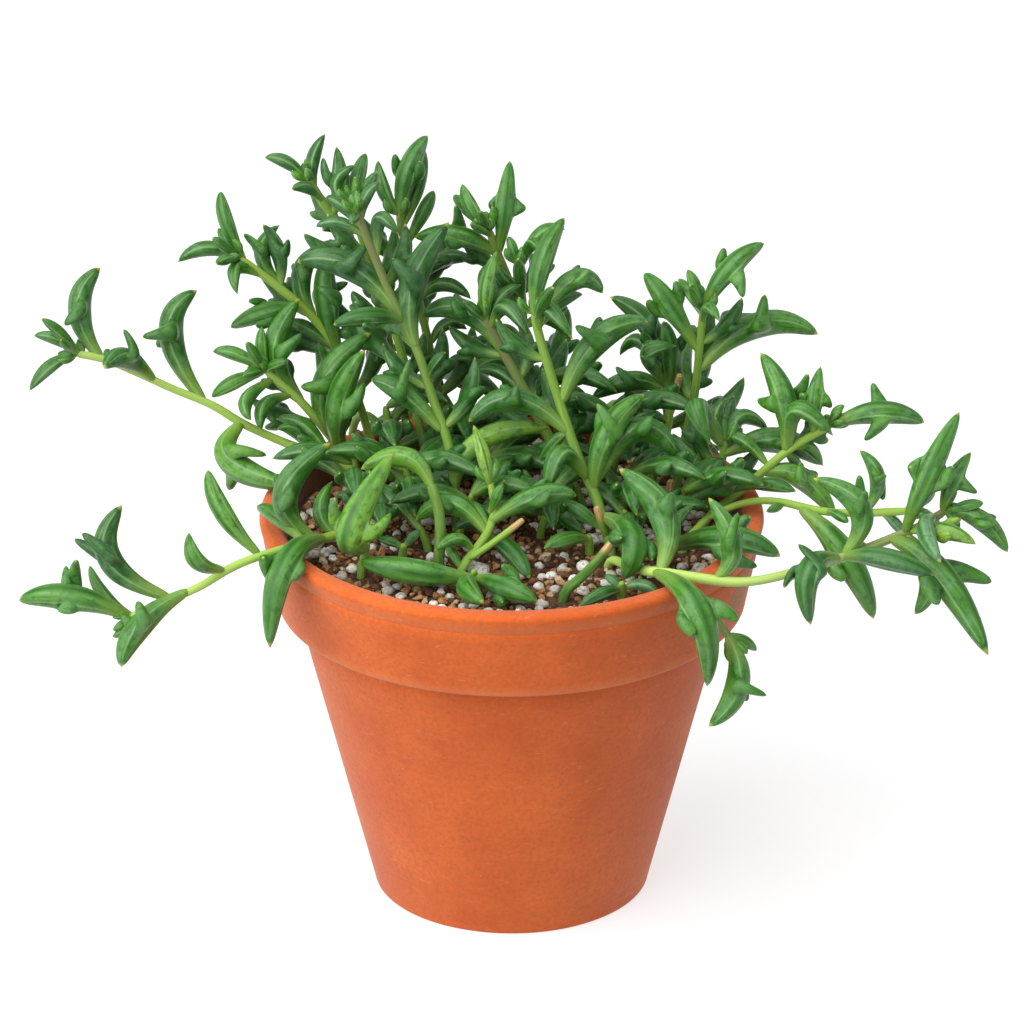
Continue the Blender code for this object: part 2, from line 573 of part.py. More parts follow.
def tidy_mesh(body):
    """Cuts the faces into plain triangles and drops what a join can leave: pairs of faces on the
    same corners, and specks that touch nothing."""
    mesh = bmesh.new()
    mesh.from_mesh(body.data)
    bmesh.ops.triangulate(mesh, faces=mesh.faces)
    by_corners = {}
    for face in mesh.faces:
        corners = frozenset(vertex.index for vertex in face.verts)
        by_corners.setdefault(corners, []).append(face)
    doubled = [face for pair in by_corners.values() if len(pair) > 1 for face in pair]
    bmesh.ops.delete(mesh, geom=doubled, context="FACES")
    waiting = set(mesh.faces)
    while waiting:
        shell = [waiting.pop()]
        for face in shell:
            around = {other for edge in face.edges for other in edge.link_faces}
            shell += around & waiting
            waiting -= around
        if len(shell) < SPECK_FACES:
            bmesh.ops.delete(mesh, geom=shell, context="FACES")
    mesh.to_mesh(body.data)
    mesh.free()


# ---------------------------------------------------------------- tubes and leaves
def smooth_route(points, spacing):
    """Points spaced evenly along a curve through the given ones."""
    ends = [2 * points[0] - points[1]] + list(points) + [2 * points[-1] - points[-2]]
    fine = []
    for before, start, end, after in zip(ends, ends[1:], ends[2:], ends[3:]):
        for part in range(8):
            t = part / 8
            fine.append(0.5 * (2 * start + (end - before) * t
                               + (2 * before - 5 * start + 4 * end - after) * t ** 2
                               + (3 * start - before - 3 * end + after) * t ** 3))
    fine.append(points[-1])
    length = sum((b - a).length for a, b in zip(fine, fine[1:]))
    count = max(1, round(length / spacing))
    route, walked, target = [fine[0]], 0.0, length / count
    for a, b in zip(fine, fine[1:]):
        step = (b - a).length
        while len(route) < count and walked + step >= target * len(route):
            route.append(a.lerp(b, (target * len(route) - walked) / step))
        walked += step
    return route + [fine[-1]]


def marked_off(route):
    """Points about a millimetre apart along the straight pieces of a route."""
    points = []
    for a, b in zip(route, route[1:]):
        count = max(1, round((b - a).length))
        points += [a.lerp(b, i / count) for i in range(count)]
    return points + [route[-1]]


def directions(route):
    last = len(route) - 1
    return [(route[min(i + 1, last)] - route[max(i - 1, 0)]).normalized() for i in range(last + 1)]


def tube(route, radii, sides, rounded=True):
    """A closed tube along a route, its radius running from the first to the second."""
    points, faces = [], []
    heading = directions(route)
    side = heading[0].orthogonal().normalized()
    for i, centre in enumerate(route):
        side = (side - heading[i] * side.dot(heading[i])).normalized()
        other = heading[i].cross(side)
        share = i / (len(route) - 1)
        radius = radii[0] + (radii[1] - radii[0]) * share
        for k in range(sides):
            turn = math.tau * k / sides
            points.append(centre + radius * (side * math.cos(turn) + other * math.sin(turn)))
    for i in range(len(route) - 1):
        for k in range(sides):
            a, b = i * sides + k, i * sides + (k + 1) % sides
            faces.append((a, b, b + sides, a + sides))
    faces.append(tuple(reversed(range(sides))))
    last = (len(route) - 1) * sides
    if rounded:
        points.append(route[-1] + heading[-1] * radii[1] * 0.5)
        faces += [(last + k, last + (k + 1) % sides, len(points) - 1) for k in range(sides)]
    else:
        faces.append(tuple(range(last, last + sides)))
    return points, faces


def leaf_shape(root, over, tip, wide, fins):
    """A leaf in space: the curve of its middle, its frame, its width and its fins' tips."""
    chord = tip - root
    rise = over - (root + tip) / 2
    rise -= chord * rise.dot(chord) / chord.length_squared
    if rise.length < 0.02 * chord.length:
        rise = OUTWARD - chord * OUTWARD.dot(chord) / chord.length_squared
    side = chord.cross(rise).normalized()
    wide = min(wide, SLIMNESS[0] + SLIMNESS[1] * ((over - root).length + (tip - over).length))
    return {"root": root, "over": over, "tip": tip, "side": side, "wide": wide, "fins": fins}


def leaf_point(shape, t):
    handle = 2 * shape["over"] - (shape["root"] + shape["tip"]) / 2
    return (shape["root"] * (1 - t) ** 2 + handle * (2 * t * (1 - t)) + shape["tip"] * t ** 2)


def leaf_frame(shape, t):
    """(heading, upper side) of the leaf's middle at t."""
    handle = 2 * shape["over"] - (shape["root"] + shape["tip"]) / 2
    heading = ((handle - shape["root"]) * (1 - t) + (shape["tip"] - handle) * t).normalized()
    return heading, shape["side"].cross(heading).normalized()


def rule_fin(shape, sign):
    """Where a fin ends when only the rule sets it: out to the side, onward and a little up."""
    length = (shape["tip"] - shape["root"]).length
    heading, upper = leaf_frame(shape, FIN_PLACE)
    aside, onward, up = RULE_FIN_WAY
    way = (shape["side"] * (aside * sign) + heading * onward + upper * up).normalized()
    return leaf_point(shape, FIN_PLACE) + way * (shape["wide"] / 2 + FIN_REACH * length)


def leaf_cage(shape, grow=0.0, from_place=0.0):
    """The leaf as a closed four-sided cage with its fins pulled out of its edges. grow swells it."""
    length = (shape["tip"] - shape["root"]).length
    table = MIDDLE_LEAF_RINGS if length < LONG_LEAF else LEAF_RINGS
    table = SHORT_LEAF_RINGS if length < SHORT_LEAF else table
    rings = [ring for ring in table if ring[0] >= from_place]
    points, faces = [], []
    for place, share in rings:
        middle = leaf_point(shape, place)
        heading, upper = leaf_frame(shape, place)
        half = shape["wide"] / 2 * share + grow
        thick = shape["wide"] / 2 * share * LEAF_THICKNESS_SHARE + grow
        points += [middle - shape["side"] * half, middle + upper * thick,
                   middle + shape["side"] * half, middle - upper * thick]
    heading, upper = leaf_frame(shape, 1.0)
    points.append(shape["tip"] + heading * grow)
    end = len(points) - 1
    fin_ring = next(i for i, ring in enumerate(rings) if ring[0] >= BLADE_START)
    fin_at = {}
    for sign, fin in shape["fins"]:
        middle = leaf_point(shape, FIN_PLACE)
        points.append(fin + (fin - middle).normalized() * grow)
        fin_at[sign] = len(points) - 1
    for i in range(len(rings) - 1):
        for k in range(4):
            a, b = i * 4 + k, i * 4 + (k + 1) % 4
            quad = [a, b, b + 4, a + 4]
            sign = {0: -1, 3: -1, 1: 1, 2: 1}[k]
            if i == fin_ring and sign in fin_at:
                edge = 0 if sign < 0 else 2
                apex = fin_at[sign]
                inner = quad.index(i * 4 + 1) if i * 4 + 1 in quad else quad.index(i * 4 + 3)
                low_edge, low_mid = i * 4 + edge, quad[inner]
                ring_faces = [(low_mid, low_mid + 4, apex), (low_mid, apex, low_edge),
                              (low_mid + 4, low_edge + 4, apex)]
                if k in (1, 3):
                    ring_faces = [tuple(reversed(face)) for face in ring_faces]
                faces += ring_faces
            else:
                faces.append(tuple(quad))
    last = (len(rings) - 1) * 4
    faces.append((3, 2, 1, 0))
    faces += [(last + k, last + (k + 1) % 4, end) for k in range(4)]
    return points, faces


class Placed:
    """What already stands in the pot, kept for the clash tests."""

    def __init__(self, owner, points, faces):
        self.owner = owner
        self.tree = BVHTree.FromPolygons(points, faces)
        self.low = [min(p[i] for p in points) for i in range(3)]
        self.high = [max(p[i] for p in points) for i in range(3)]

    def meets(self, other):
        for i in range(3):
            if self.high[i] < other.low[i] or other.high[i] < self.low[i]:
                return False
        return bool(self.tree.overlap(other.tree))


def drawn_leaf(spec, stems):
    """A leaf of the drawing as a shape in space, rooted on the nearest point of its stems."""
    wanted = Vector(spec["root"])
    candidates = [point for stem in stems for point in stem]
    root = min(candidates, key=lambda point: (drawn(point) - wanted).length)
    nearer = spec["tip"][2] if len(spec["tip"]) > 2 else 0.0
    root_depth = depth_of(root)
    tip = spot_at_depth(spec["tip"][0], spec["tip"][1], root_depth + nearer)
    length = (tip - root).length
    middle_depth = root_depth + nearer / 2
    if spec["over"] is None:
        mouth = stems[0][-1] - stems[0][-2]
        flat = mouth - OUTWARD * mouth.dot(OUTWARD)
        over = (root + tip) / 2 + flat.normalized() * (0.1 * length) + OUTWARD * (0.1 * length)
    else:
        flat_over = spot_at_depth(spec["over"][0], spec["over"][1], middle_depth)
        rise = (flat_over - (root + tip) / 2).length
        if len(spec["over"]) > 2:
            bow = spec["over"][2]
        else:
            wanted_rise = LEAF_BOW * length
            bow = math.sqrt(max(wanted_rise ** 2 - rise ** 2, (0.05 * length) ** 2))
        over = spot_at_depth(spec["over"][0], spec["over"][1], middle_depth + bow)
    shape = leaf_shape(root, over, tip, spec["wide"] * LEAF_FULLNESS, [])
    if spec["fins"] != NO_FINS and length > FINLESS_LEAF:
        shape["fins"] = leaf_fins(shape, spec["fins"] or ())
    return shape


def leaf_fins(shape, drawn_tips):
    """The two fins as (side of the leaf, tip). Those that the drawing shows come first."""
    fins = {}
    middle = leaf_point(shape, FIN_PLACE)
    length = (shape["tip"] - shape["root"]).length
    reach = shape["wide"] / 2 + FIN_REACH * length
    lean = abs(shape["side"].dot(OUTWARD)) * reach * 0.8
    for number, (right, down) in enumerate(drawn_tips):
        depth = depth_of(middle) + (lean if number == 0 else -lean)
        place = spot_at_depth(right, down, depth)
        away = place - middle
        if away.length > FIN_LONGEST * length:
            place = middle + away * (FIN_LONGEST * length / away.length)
        sign = 1 if away.dot(shape["side"]) > 0 else -1
        fins[-sign if sign in fins else sign] = place
    for sign in (1, -1):
        if sign not in fins:
            fins[sign] = rule_fin(shape, sign)
    return sorted(fins.items())


def swung(shape, swing, shrink):
    """The leaf swung toward the eye by some millimetres at its tip, and shortened."""
    root = shape["root"]
    moved = dict(shape)
    moved["tip"] = root + (shape["tip"] - root) * shrink + OUTWARD * swing
    moved["over"] = root + (shape["over"] - root) * shrink + OUTWARD * (swing / 2)
    moved = leaf_shape(root, moved["over"], moved["tip"], shape["wide"] * shrink ** 0.5, [])
    if moved["side"].dot(shape["side"]) < 0:
        moved["side"] = -moved["side"]
    moved["fins"] = [(sign, root + (fin - root) * shrink + OUTWARD * (swing / 2))
                     for sign, fin in shape["fins"]]
    return moved


def fit_leaf(owner, shape, swings, placed):
    """The first swing and length at which the leaf clears all that is placed, or None."""
    for shrink in SHRINKS:
        for swing in swings:
            trial = swung(shape, swing, shrink)
            whole = Placed(owner, *leaf_cage(trial, LEAF_GAP))
            blade = Placed(owner, *leaf_cage(trial, LEAF_GAP, BLADE_START))
            if not any(blade.meets(other) if other.owner == owner else whole.meets(other)
                       for other in placed):
                return trial
    return None


def stem_route(points, soil_root):
    """A stem's smooth line from its hole, straight up out of the soil and then along its points."""
    collar = soil_root + Vector((0, 0, 1.6))
    return [soil_root - Vector((0, 0, ROOT_DEPTH))] + smooth_route([collar] + points,
                                                                   STEM_RING_SPACING)


def inner_shoots():
    """Rule-made short shoots in the middle of the pot, as (name, root, points, leaves)."""
    made = []
    for number, (across, back, height) in enumerate(INNER_SHOOTS):
        draw = random.Random(100 + number)
        root = Vector((across, back, SOIL_HEIGHT))
        top = root + Vector((draw.uniform(-4, 4), draw.uniform(-4, 4), height))
        middle = root.lerp(top, 0.5) + Vector((draw.uniform(-2, 2), draw.uniform(-2, 2), 0))
        made.append((f"shoot_inner_{number + 1}", root, [middle, top], INNER_LEAVES, draw))
    return made


def back_shoots():
    """Rule-made shoots that trail over the back rim and down beside the wall."""
    made = []
    for number, (angle, length) in enumerate(BACK_SHOOTS):
        draw = random.Random(200 + number)
        out = Vector((math.cos(math.radians(angle)), math.sin(math.radians(angle)), 0))
        aside = Vector((-out.y, out.x, 0)) * draw.uniform(-5, 5)
        root = out * BACK_ROOT_RADIUS + Vector((0, 0, SOIL_HEIGHT))
        on_rim = out * (RIM_RADIUS - 2.5) + Vector((0, 0, POT_HEIGHT + 5.8))
        past_rim = out * (RIM_RADIUS + BACK_WALL_GAP) + Vector((0, 0, POT_HEIGHT - 3))
        end = past_rim + aside - out * 1.5 - Vector((0, 0, length - 4))
        made.append((f"shoot_back_{number + 1}", root,
                     [on_rim, past_rim, past_rim.lerp(end, 0.5), end], BACK_LEAVES, draw))
    return made


def grown_leaf(stem, place, number, draw):
    """A leaf by rule. It leaves the stem to alternate sides, arching back along the stem's way, and
    keeps low: inside the pot it leans level, and behind the pot it stays beside the wall."""
    at = place * (len(stem) - 1)
    first = min(int(at), len(stem) - 2)
    root = stem[first].lerp(stem[first + 1], at - first)
    way = (stem[first + 1] - stem[first]).normalized()
    away = Vector((root.x, root.y, 0)).normalized()
    behind_pot = Vector((root.x, root.y, 0)).length > RIM_RADIUS - 4
    if behind_pot:
        side = Vector((-away.y, away.x, 0)) * (1 if number % 2 else -1)
        heading = side * 0.85 + away * draw.uniform(0.0, 0.12) - Vector((0, 0, 0.5))
        heading.y = min(heading.y, 0.06)
        length = draw.uniform(*TRAILING_LENGTHS) * (1 - TIPWARD_SHORTENING * place)
    else:
        turn = number * LEAF_TURN
        heading = Vector((math.cos(turn), math.sin(turn), draw.uniform(0.0, 0.35)))
        length = draw.uniform(*GROWN_LENGTHS)
    tip = root + heading.normalized() * length
    lift = Vector((0, 0, 1)) if not behind_pot else (away * 0.4 - way * 0.6)
    over = (root + tip) / 2 + lift * (LEAF_BOW * length)
    shape = leaf_shape(root, over, tip, LEAF_WIDTH, [])
    shape["fins"] = leaf_fins(shape, ())
    return shape


def filling_leaf(stem, place, number, draw):
    """A leaf by rule between the drawn ones, turned to the next side of the stem each time. It
    leaves the stem outward and curls up along it."""
    at = place * (len(stem) - 1)
    first = int(at)
    root = stem[first].lerp(stem[first + 1], at - first)
    way = (stem[first + 1] - stem[first]).normalized()
    back = (-OUTWARD + way * OUTWARD.dot(way)).normalized()
    turn = draw.uniform(-0.3, 0.3) + (-1.1, 0.9, 0.1)[number % 3]
    out = back * math.cos(turn) + way.cross(back) * math.sin(turn)
    length = draw.uniform(*FILLING_LENGTHS) * (1 - TIPWARD_SHORTENING * place)
    tip = root + (out * FILLING_WAY[0] + way * FILLING_WAY[1]).normalized() * length
    lift = (out * FILLING_BOW[0] + way * FILLING_BOW[1]).normalized()
    over = (root + tip) / 2 + lift * (LEAF_BOW * length)
    shape = leaf_shape(root, over, tip, LEAF_WIDTH, [])
    shape["fins"] = leaf_fins(shape, ())
    return shape


# ---------------------------------------------------------------- the pot and the soil
def turned(name, profile, segments):
    """A closed ring turned round the Z axis from (radius, height) points."""
    points = [(radius * math.cos(math.tau * s / segments),
               radius * math.sin(math.tau * s / segments), height)
              for s in range(segments) for radius, height in profile]
    count, faces = len(profile), []
    for s in range(segments):
        following = (s + 1) % segments
        for i in range(count):
            j = (i + 1) % count
            faces.append((s * count + i, following * count + i, following * count + j,
                          s * count + j))
    return solid(name, points, faces)


def rounding(centre, radius, start, end, steps):
    """Points on an arc, its angles in degrees."""
    turns = [math.radians(start + (end - start) * i / steps) for i in range(steps + 1)]
    return [(centre[0] + radius * math.cos(t), centre[1] + radius * math.sin(t)) for t in turns]


def inner_wall_radius(height):
    share = (height - BASE_THICKNESS) / (POT_HEIGHT - BASE_THICKNESS)
    return FLOOR_RADIUS + (MOUTH_RADIUS - FLOOR_RADIUS) * share


def pot_profile():
    band_foot = POT_HEIGHT - BAND_HEIGHT
    groove = POT_HEIGHT - GROOVE_DROP
    outer = [(BASE_RADIUS - EDGE_ROUND, 0.0)]
    outer += rounding((BASE_RADIUS - EDGE_ROUND, EDGE_ROUND), EDGE_ROUND, -45, 0, 1)
    outer += [(BODY_TOP_RADIUS, band_foot - 0.4), (BAND_FOOT_RADIUS - 0.8, band_foot),
              (BAND_FOOT_RADIUS, band_foot + 0.9)]
    groove_radius = RIM_RADIUS - 0.9
    outer += [(groove_radius, groove - 0.8), (groove_radius - GROOVE_DEPTH, groove),
              (groove_radius + 0.15, groove + 0.8)]
    outer += rounding((RIM_RADIUS - LIP_ROUND, POT_HEIGHT - LIP_ROUND), LIP_ROUND, 0, 90, 2)
    inside = rounding((MOUTH_RADIUS + LIP_ROUND, POT_HEIGHT - LIP_ROUND), LIP_ROUND, 90, 180, 2)
    inside += [(FLOOR_RADIUS, BASE_THICKNESS), (DRAIN_RADIUS, BASE_THICKNESS), (DRAIN_RADIUS, 0.0)]
    return outer + inside


def build_pot():
    pot = turned("pot", pot_profile(), POT_SEGMENTS)
    coat(pot, "fired_clay", CLAY, 0.8)
    pot.data.shade_smooth()
    pot.data.set_sharp_from_angle(angle=math.radians(35))
    return pot


def grain(centre, radius, draw):
    """One rounded stone of the mix, a squashed twelve-cornered ball."""
    ball = bmesh.new()
    bmesh.ops.create_icosphere(ball, subdivisions=1, radius=radius)
    turn = Matrix.Rotation(draw.uniform(0, math.tau), 3, "Z")
    squash = Matrix.Diagonal((1.0, draw.uniform(0.75, 1.0), draw.uniform(0.55, 0.75)))
    points = [centre + turn @ squash @ vertex.co for vertex in ball.verts]
    faces = [tuple(vertex.index for vertex in face.verts) for face in ball.faces]
    ball.free()
    return solid("grain", points, faces)


def grain_places(roots):
    """Seeded places on the soil, clear of the stems' holes and of each other."""
    draw = random.Random(7)
    places = []
    while len(places) < GRAIN_COUNT:
        radius = draw.uniform(*GRAIN_SIZES)
        turn, out = draw.uniform(0, math.tau), 54 * math.sqrt(draw.random())
        place = Vector((out * math.cos(turn), out * math.sin(turn), SOIL_HEIGHT))
        clear_of_roots = all((place - root).length > radius + 3.6 for root in roots)
        clear_of_grains = all((place - other).length > radius + size + 0.6
                              for other, size in places)
        if clear_of_roots and clear_of_grains:
            places.append((place, radius))
    return places


def build_soil(roots):
    """The potting mix: a tapered plug with a grain-strewn top and a hole for every stem."""
    low = BASE_THICKNESS + CLEARANCE
    bottom_radius = inner_wall_radius(BASE_THICKNESS) - CLEARANCE * 1.6
    top_radius = inner_wall_radius(SOIL_HEIGHT) - CLEARANCE * 1.6
    points, faces = [], []
    for radius, height in ((bottom_radius, low), (top_radius, SOIL_HEIGHT - 0.6),
                           (top_radius - 1.2, SOIL_HEIGHT)):
        points += [(radius * math.cos(math.tau * s / SOIL_SEGMENTS),
                    radius * math.sin(math.tau * s / SOIL_SEGMENTS), height)
                   for s in range(SOIL_SEGMENTS)]
    for ring in range(2):
        for s in range(SOIL_SEGMENTS):
            a, b = ring * SOIL_SEGMENTS + s, ring * SOIL_SEGMENTS + (s + 1) % SOIL_SEGMENTS
            faces.append((a, b, b + SOIL_SEGMENTS, a + SOIL_SEGMENTS))
    faces.append(tuple(reversed(range(SOIL_SEGMENTS))))
    faces.append(tuple(range(2 * SOIL_SEGMENTS, 3 * SOIL_SEGMENTS)))
    soil = solid("soil", points, faces)
    draw = random.Random(11)
    fuse(soil, [grain(place, radius, draw) for place, radius in grain_places(roots)])
    tidy_mesh(soil)
    return soil


def bore_holes(soil, holes):
    """Cuts a plain hole for every stem, 0.3 mm clear of it."""
    cutters = []
    for root, radius in holes:
        wide = (radius + CLEARANCE + 0.1) / math.cos(math.pi / HOLE_SIDES)
        route = [root - Vector((0, 0, ROOT_DEPTH + CLEARANCE)), root + Vector((0, 0, 3))]
        cutters.append(solid("hole", *tube(route, (wide, wide), HOLE_SIDES, rounded=False)))
    fuse(soil, cutters, "DIFFERENCE")
    tidy_mesh(soil)
    coat(soil, "potting_mix", POTTING_MIX, 0.95)


# ---------------------------------------------------------------- the whole plant
def lay_out_stems():
    """Every shoot's stems in space, with its drawn leaves, how many leaves grow by rule and their
    seeded draw: name -> {root, radii, stems, drawn, grown, draw}."""
    shoots = {}
    for name, plan in SHOOTS.items():
        root = soil_spot(*plan["stem"][0])
        points = [spot(*place) for place in plan["stem"][1:]]
        stems = [stem_route(points, root)]
        for stub in plan.get("branches", []):
            stems.append(smooth_route([spot(*place) for place in stub], STEM_RING_SPACING))
        shoots[name] = {"root": root, "radii": plan.get("thick", STEM_RADII), "stems": stems,
                        "drawn": plan["leaves"], "grown": plan.get("filling", 0),
                        "draw": random.Random(len(name) + len(shoots))}
    for name, root, points, leaves, draw in inner_shoots() + back_shoots():
        shoots[name] = {"root": root, "radii": STEM_RADII, "stems": [stem_route(points, root)],
                        "drawn": [], "grown": leaves, "draw": draw}
    return shoots


def place_leaves(shoots, placed):
    """Fits every leaf of every shoot clear of the rest, and returns them by shoot."""
    leaves = {}
    for name, shoot in shoots.items():
        leaves[name] = []
        fine = [marked_off(stem[1:] if number == 0 else stem)
                for number, stem in enumerate(shoot["stems"])]
        trials = [(drawn_leaf(spec, fine), SWINGS) for spec in shoot["drawn"]]
        low, high = FILLED_PART if shoot["drawn"] else GROWN_PART
        by_rule = filling_leaf if shoot["drawn"] else grown_leaf
        for number in range(shoot["grown"]):
            place = low + (high - low) * number / (shoot["grown"] - 1)
            trials.append((by_rule(fine[0], place, number, shoot["draw"]), RULE_SWINGS))
        for shape, swings in trials:
            fitted = fit_leaf(name, shape, swings, placed)
            if fitted is None:
                continue
            placed.append(Placed(name, *leaf_cage(fitted)))
            leaves[name].append(fitted)
    return leaves


def build():
    for old in list(bpy.data.objects):
        bpy.data.objects.remove(old)
    pot = build_pot()
    shoots = lay_out_stems()
    soil = build_soil([shoot["root"] for shoot in shoots.values()])
    placed = []
    for body in (pot, soil):
        points = [vertex.co / MM for vertex in body.data.vertices]
        faces = [tuple(polygon.vertices) for polygon in body.data.polygons]
        placed.append(Placed(body.name, points, faces))
    bore_holes(soil, [(shoot["root"], shoot["radii"][0]) for shoot in shoots.values()])
    tubes = {}
    for name, shoot in shoots.items():
        start, end = shoot["radii"]
        tubes[name] = [tube(shoot["stems"][0], (start, end), STEM_SIDES)]
        for stub in shoot["stems"][1:]:
            tubes[name].append(tube(stub, (end, end), STEM_SIDES))
        placed += [Placed(name, *shape) for shape in tubes[name]]
    leaves = place_leaves(shoots, placed)
    for name in shoots:
        main = solid(name, *tubes[name][0])
        pieces = [solid("piece", *shape) for shape in tubes[name][1:]]
        pieces += [solid("piece", *leaf_cage(shape)) for shape in leaves[name]]
        if pieces:
            # EXACT leaves open edges where leaf roots meet inside a stem; MANIFOLD does not
            fuse(main, pieces, solver="MANIFOLD")
        tidy_mesh(main)
        coat(main, name + "_green", GREEN_LEAF, 0.45)


build()
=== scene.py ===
"""A string of dolphins (Curio x peregrinus) growing in a plain clay pot.

The solids come from the frame in metres, with +Z up, -Y to the front and the origin under the
middle of the pot. The pot, the potting mix and each shoot get a finer mesh in the same place.
"""
import math
import random
from functools import partial

import bmesh
import bpy
from mathutils import Matrix, Vector, noise
from mathutils.bvhtree import BVHTree


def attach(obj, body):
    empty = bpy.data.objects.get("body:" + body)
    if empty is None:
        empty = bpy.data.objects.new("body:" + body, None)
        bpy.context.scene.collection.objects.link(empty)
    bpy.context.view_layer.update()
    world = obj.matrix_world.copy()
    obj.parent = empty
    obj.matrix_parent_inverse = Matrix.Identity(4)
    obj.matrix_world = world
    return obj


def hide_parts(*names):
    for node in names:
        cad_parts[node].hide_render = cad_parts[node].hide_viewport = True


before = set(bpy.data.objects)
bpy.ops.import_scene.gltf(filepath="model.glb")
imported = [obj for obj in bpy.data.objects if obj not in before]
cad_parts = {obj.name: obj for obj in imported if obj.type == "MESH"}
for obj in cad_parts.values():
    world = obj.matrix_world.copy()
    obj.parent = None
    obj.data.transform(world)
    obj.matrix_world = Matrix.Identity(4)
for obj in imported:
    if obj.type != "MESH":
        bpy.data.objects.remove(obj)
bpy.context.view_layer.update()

# ---------------------------------------------------------------- the camera
# A product shot: a long lens two metres off, in front of the pot and looking down on it. The shoots
# are laid out on the drawing plane that it looks at, where a point is one drawing step wide.
MM = 0.001
SENSOR = 36.0
DRAWING_SIDE = 1024
DRAWING_STEP = 0.2574
DRAWING_MIDDLE = (511.6, 512.0)
DRAWING_TILT = math.radians(24.56)
EYE_DISTANCE = 2042.0
AIM = Vector((0.0, 0.0, 103.9))
ACROSS = Vector((1.0, 0.0, 0.0))
UPWARD = Vector((0.0, math.sin(DRAWING_TILT), math.cos(DRAWING_TILT)))
OUTWARD = Vector((0.0, -math.cos(DRAWING_TILT), math.sin(DRAWING_TILT)))


def place_in_scene(name, data):
    """A new object in the scene that shows a mesh, a lens or a light."""
    made = bpy.data.objects.new(name, data)
    bpy.context.scene.collection.objects.link(made)
    return made


lens = bpy.data.cameras.new("long_lens")
lens.sensor_width = SENSOR
lens.lens = SENSOR * EYE_DISTANCE / (DRAWING_STEP * DRAWING_SIDE)
lens.shift_x = (DRAWING_SIDE / 2 - DRAWING_MIDDLE[0]) / DRAWING_SIDE
lens.clip_end = 20.0
camera = place_in_scene("camera", lens)
camera.location = (AIM + OUTWARD * EYE_DISTANCE) * MM
camera.rotation_euler = (math.pi / 2 - DRAWING_TILT, 0.0, 0.0)
bpy.context.scene.camera = camera

# ---------------------------------------------------------------- the pot
# A standard flower pot of red earthenware, pressed on a turning wheel and fired without glaze. It
# has a deep rim band, a faint turned line under the lip, and a drain hole.
RIM_RADIUS = 65.0
POT_HEIGHT = 104.5
BAND_HEIGHT = 24.4
BAND_FOOT_RADIUS = 60.6
BAND_EDGE_ROUND = 0.9
BODY_TOP_RADIUS = 55.5
BASE_RADIUS = 35.9
BASE_THICKNESS = 6.0
MOUTH_RADIUS = 59.5
FLOOR_RADIUS = 31.0
DRAIN_RADIUS = 9.0
LIP_ROUND = 1.6
EDGE_ROUND = 1.0
COVE_ROUND = 1.0
COVE_DROP = 1.2
GROOVE_DROP = 5.4
GROOVE_INSET = 0.9
GROOVE_DEPTH = 0.16
# Heights across the turned line, with their share of its depth
GROOVE_CURVE = ((-0.2, 0.6), (0.0, 1.0), (0.25, 0.5), (0.55, -0.3125))
GROOVE_REACH = 0.5
WALL_STEPS = 12
POT_SEGMENTS = 168
CLAY_WOBBLE = 0.12
WOBBLE_LENGTH = 30.0
WOBBLES = 1.7


def arc(centre, radius, start, end, steps):
    """Points on an arc, its angles in degrees."""
    turns = [math.radians(start + (end - start) * i / steps) for i in range(steps + 1)]
    return [(centre[0] + radius * math.cos(t), centre[1] + radius * math.sin(t)) for t in turns]


def straight(start, end, steps):
    """Points on a line, without its first."""
    return [tuple(a + (b - a) * i / steps for a, b in zip(start, end)) for i in range(1, steps + 1)]


def pot_profile():
    """(radius, height) points up the outside, over the lip and down the inside."""
    band_foot = POT_HEIGHT - BAND_HEIGHT
    groove, groove_radius = POT_HEIGHT - GROOVE_DROP, RIM_RADIUS - GROOVE_INSET
    lip_middle = POT_HEIGHT - LIP_ROUND
    profile = arc((BASE_RADIUS - EDGE_ROUND, EDGE_ROUND), EDGE_ROUND, -90, 0, 6)
    profile += straight(profile[-1], (BODY_TOP_RADIUS, band_foot - COVE_DROP - 0.2), 16)
    profile += arc((BODY_TOP_RADIUS + COVE_ROUND, band_foot - COVE_DROP), COVE_ROUND, 180, 90, 4)
    profile += arc((BAND_FOOT_RADIUS - BAND_EDGE_ROUND, band_foot + BAND_EDGE_ROUND),
                   BAND_EDGE_ROUND, -90, 0, 5)
    profile += straight(profile[-1], (groove_radius, groove - GROOVE_REACH), 7)
    profile += [(groove_radius - GROOVE_DEPTH * share, groove + rise)
                for rise, share in GROOVE_CURVE]
    profile += arc((RIM_RADIUS - LIP_ROUND, lip_middle), LIP_ROUND, 0, 90, 8)
    profile += arc((MOUTH_RADIUS + LIP_ROUND, lip_middle), LIP_ROUND, 90, 180, 8)
    profile += straight(profile[-1], (FLOOR_RADIUS + 1.0, BASE_THICKNESS), WALL_STEPS)
    return profile + [(DRAIN_RADIUS, BASE_THICKNESS), (DRAIN_RADIUS, 0.0)]


def turns(count):
    """The angles of this many even steps round a circle."""
    return [math.tau * k / count for k in range(count)]


def turned(profile, segments, wobble):
    """A closed ring turned round the Z axis, a little uneven the way hand-finished clay is."""
    points, faces, count = [], [], len(profile)
    for s, turn in enumerate(turns(segments)):
        for radius, height in profile:
            way = Vector((math.cos(turn), math.sin(turn), height / WOBBLE_LENGTH))
            near = radius - wobble * (0.5 + 0.5 * noise.noise(way * WOBBLES))
            points.append((near * math.cos(turn), near * math.sin(turn), height))
        here, after = s * count, (s + 1) % segments * count
        faces += [(here + i, after + i, after + (i + 1) % count, here + (i + 1) % count)
                  for i in range(count)]
    return points, faces


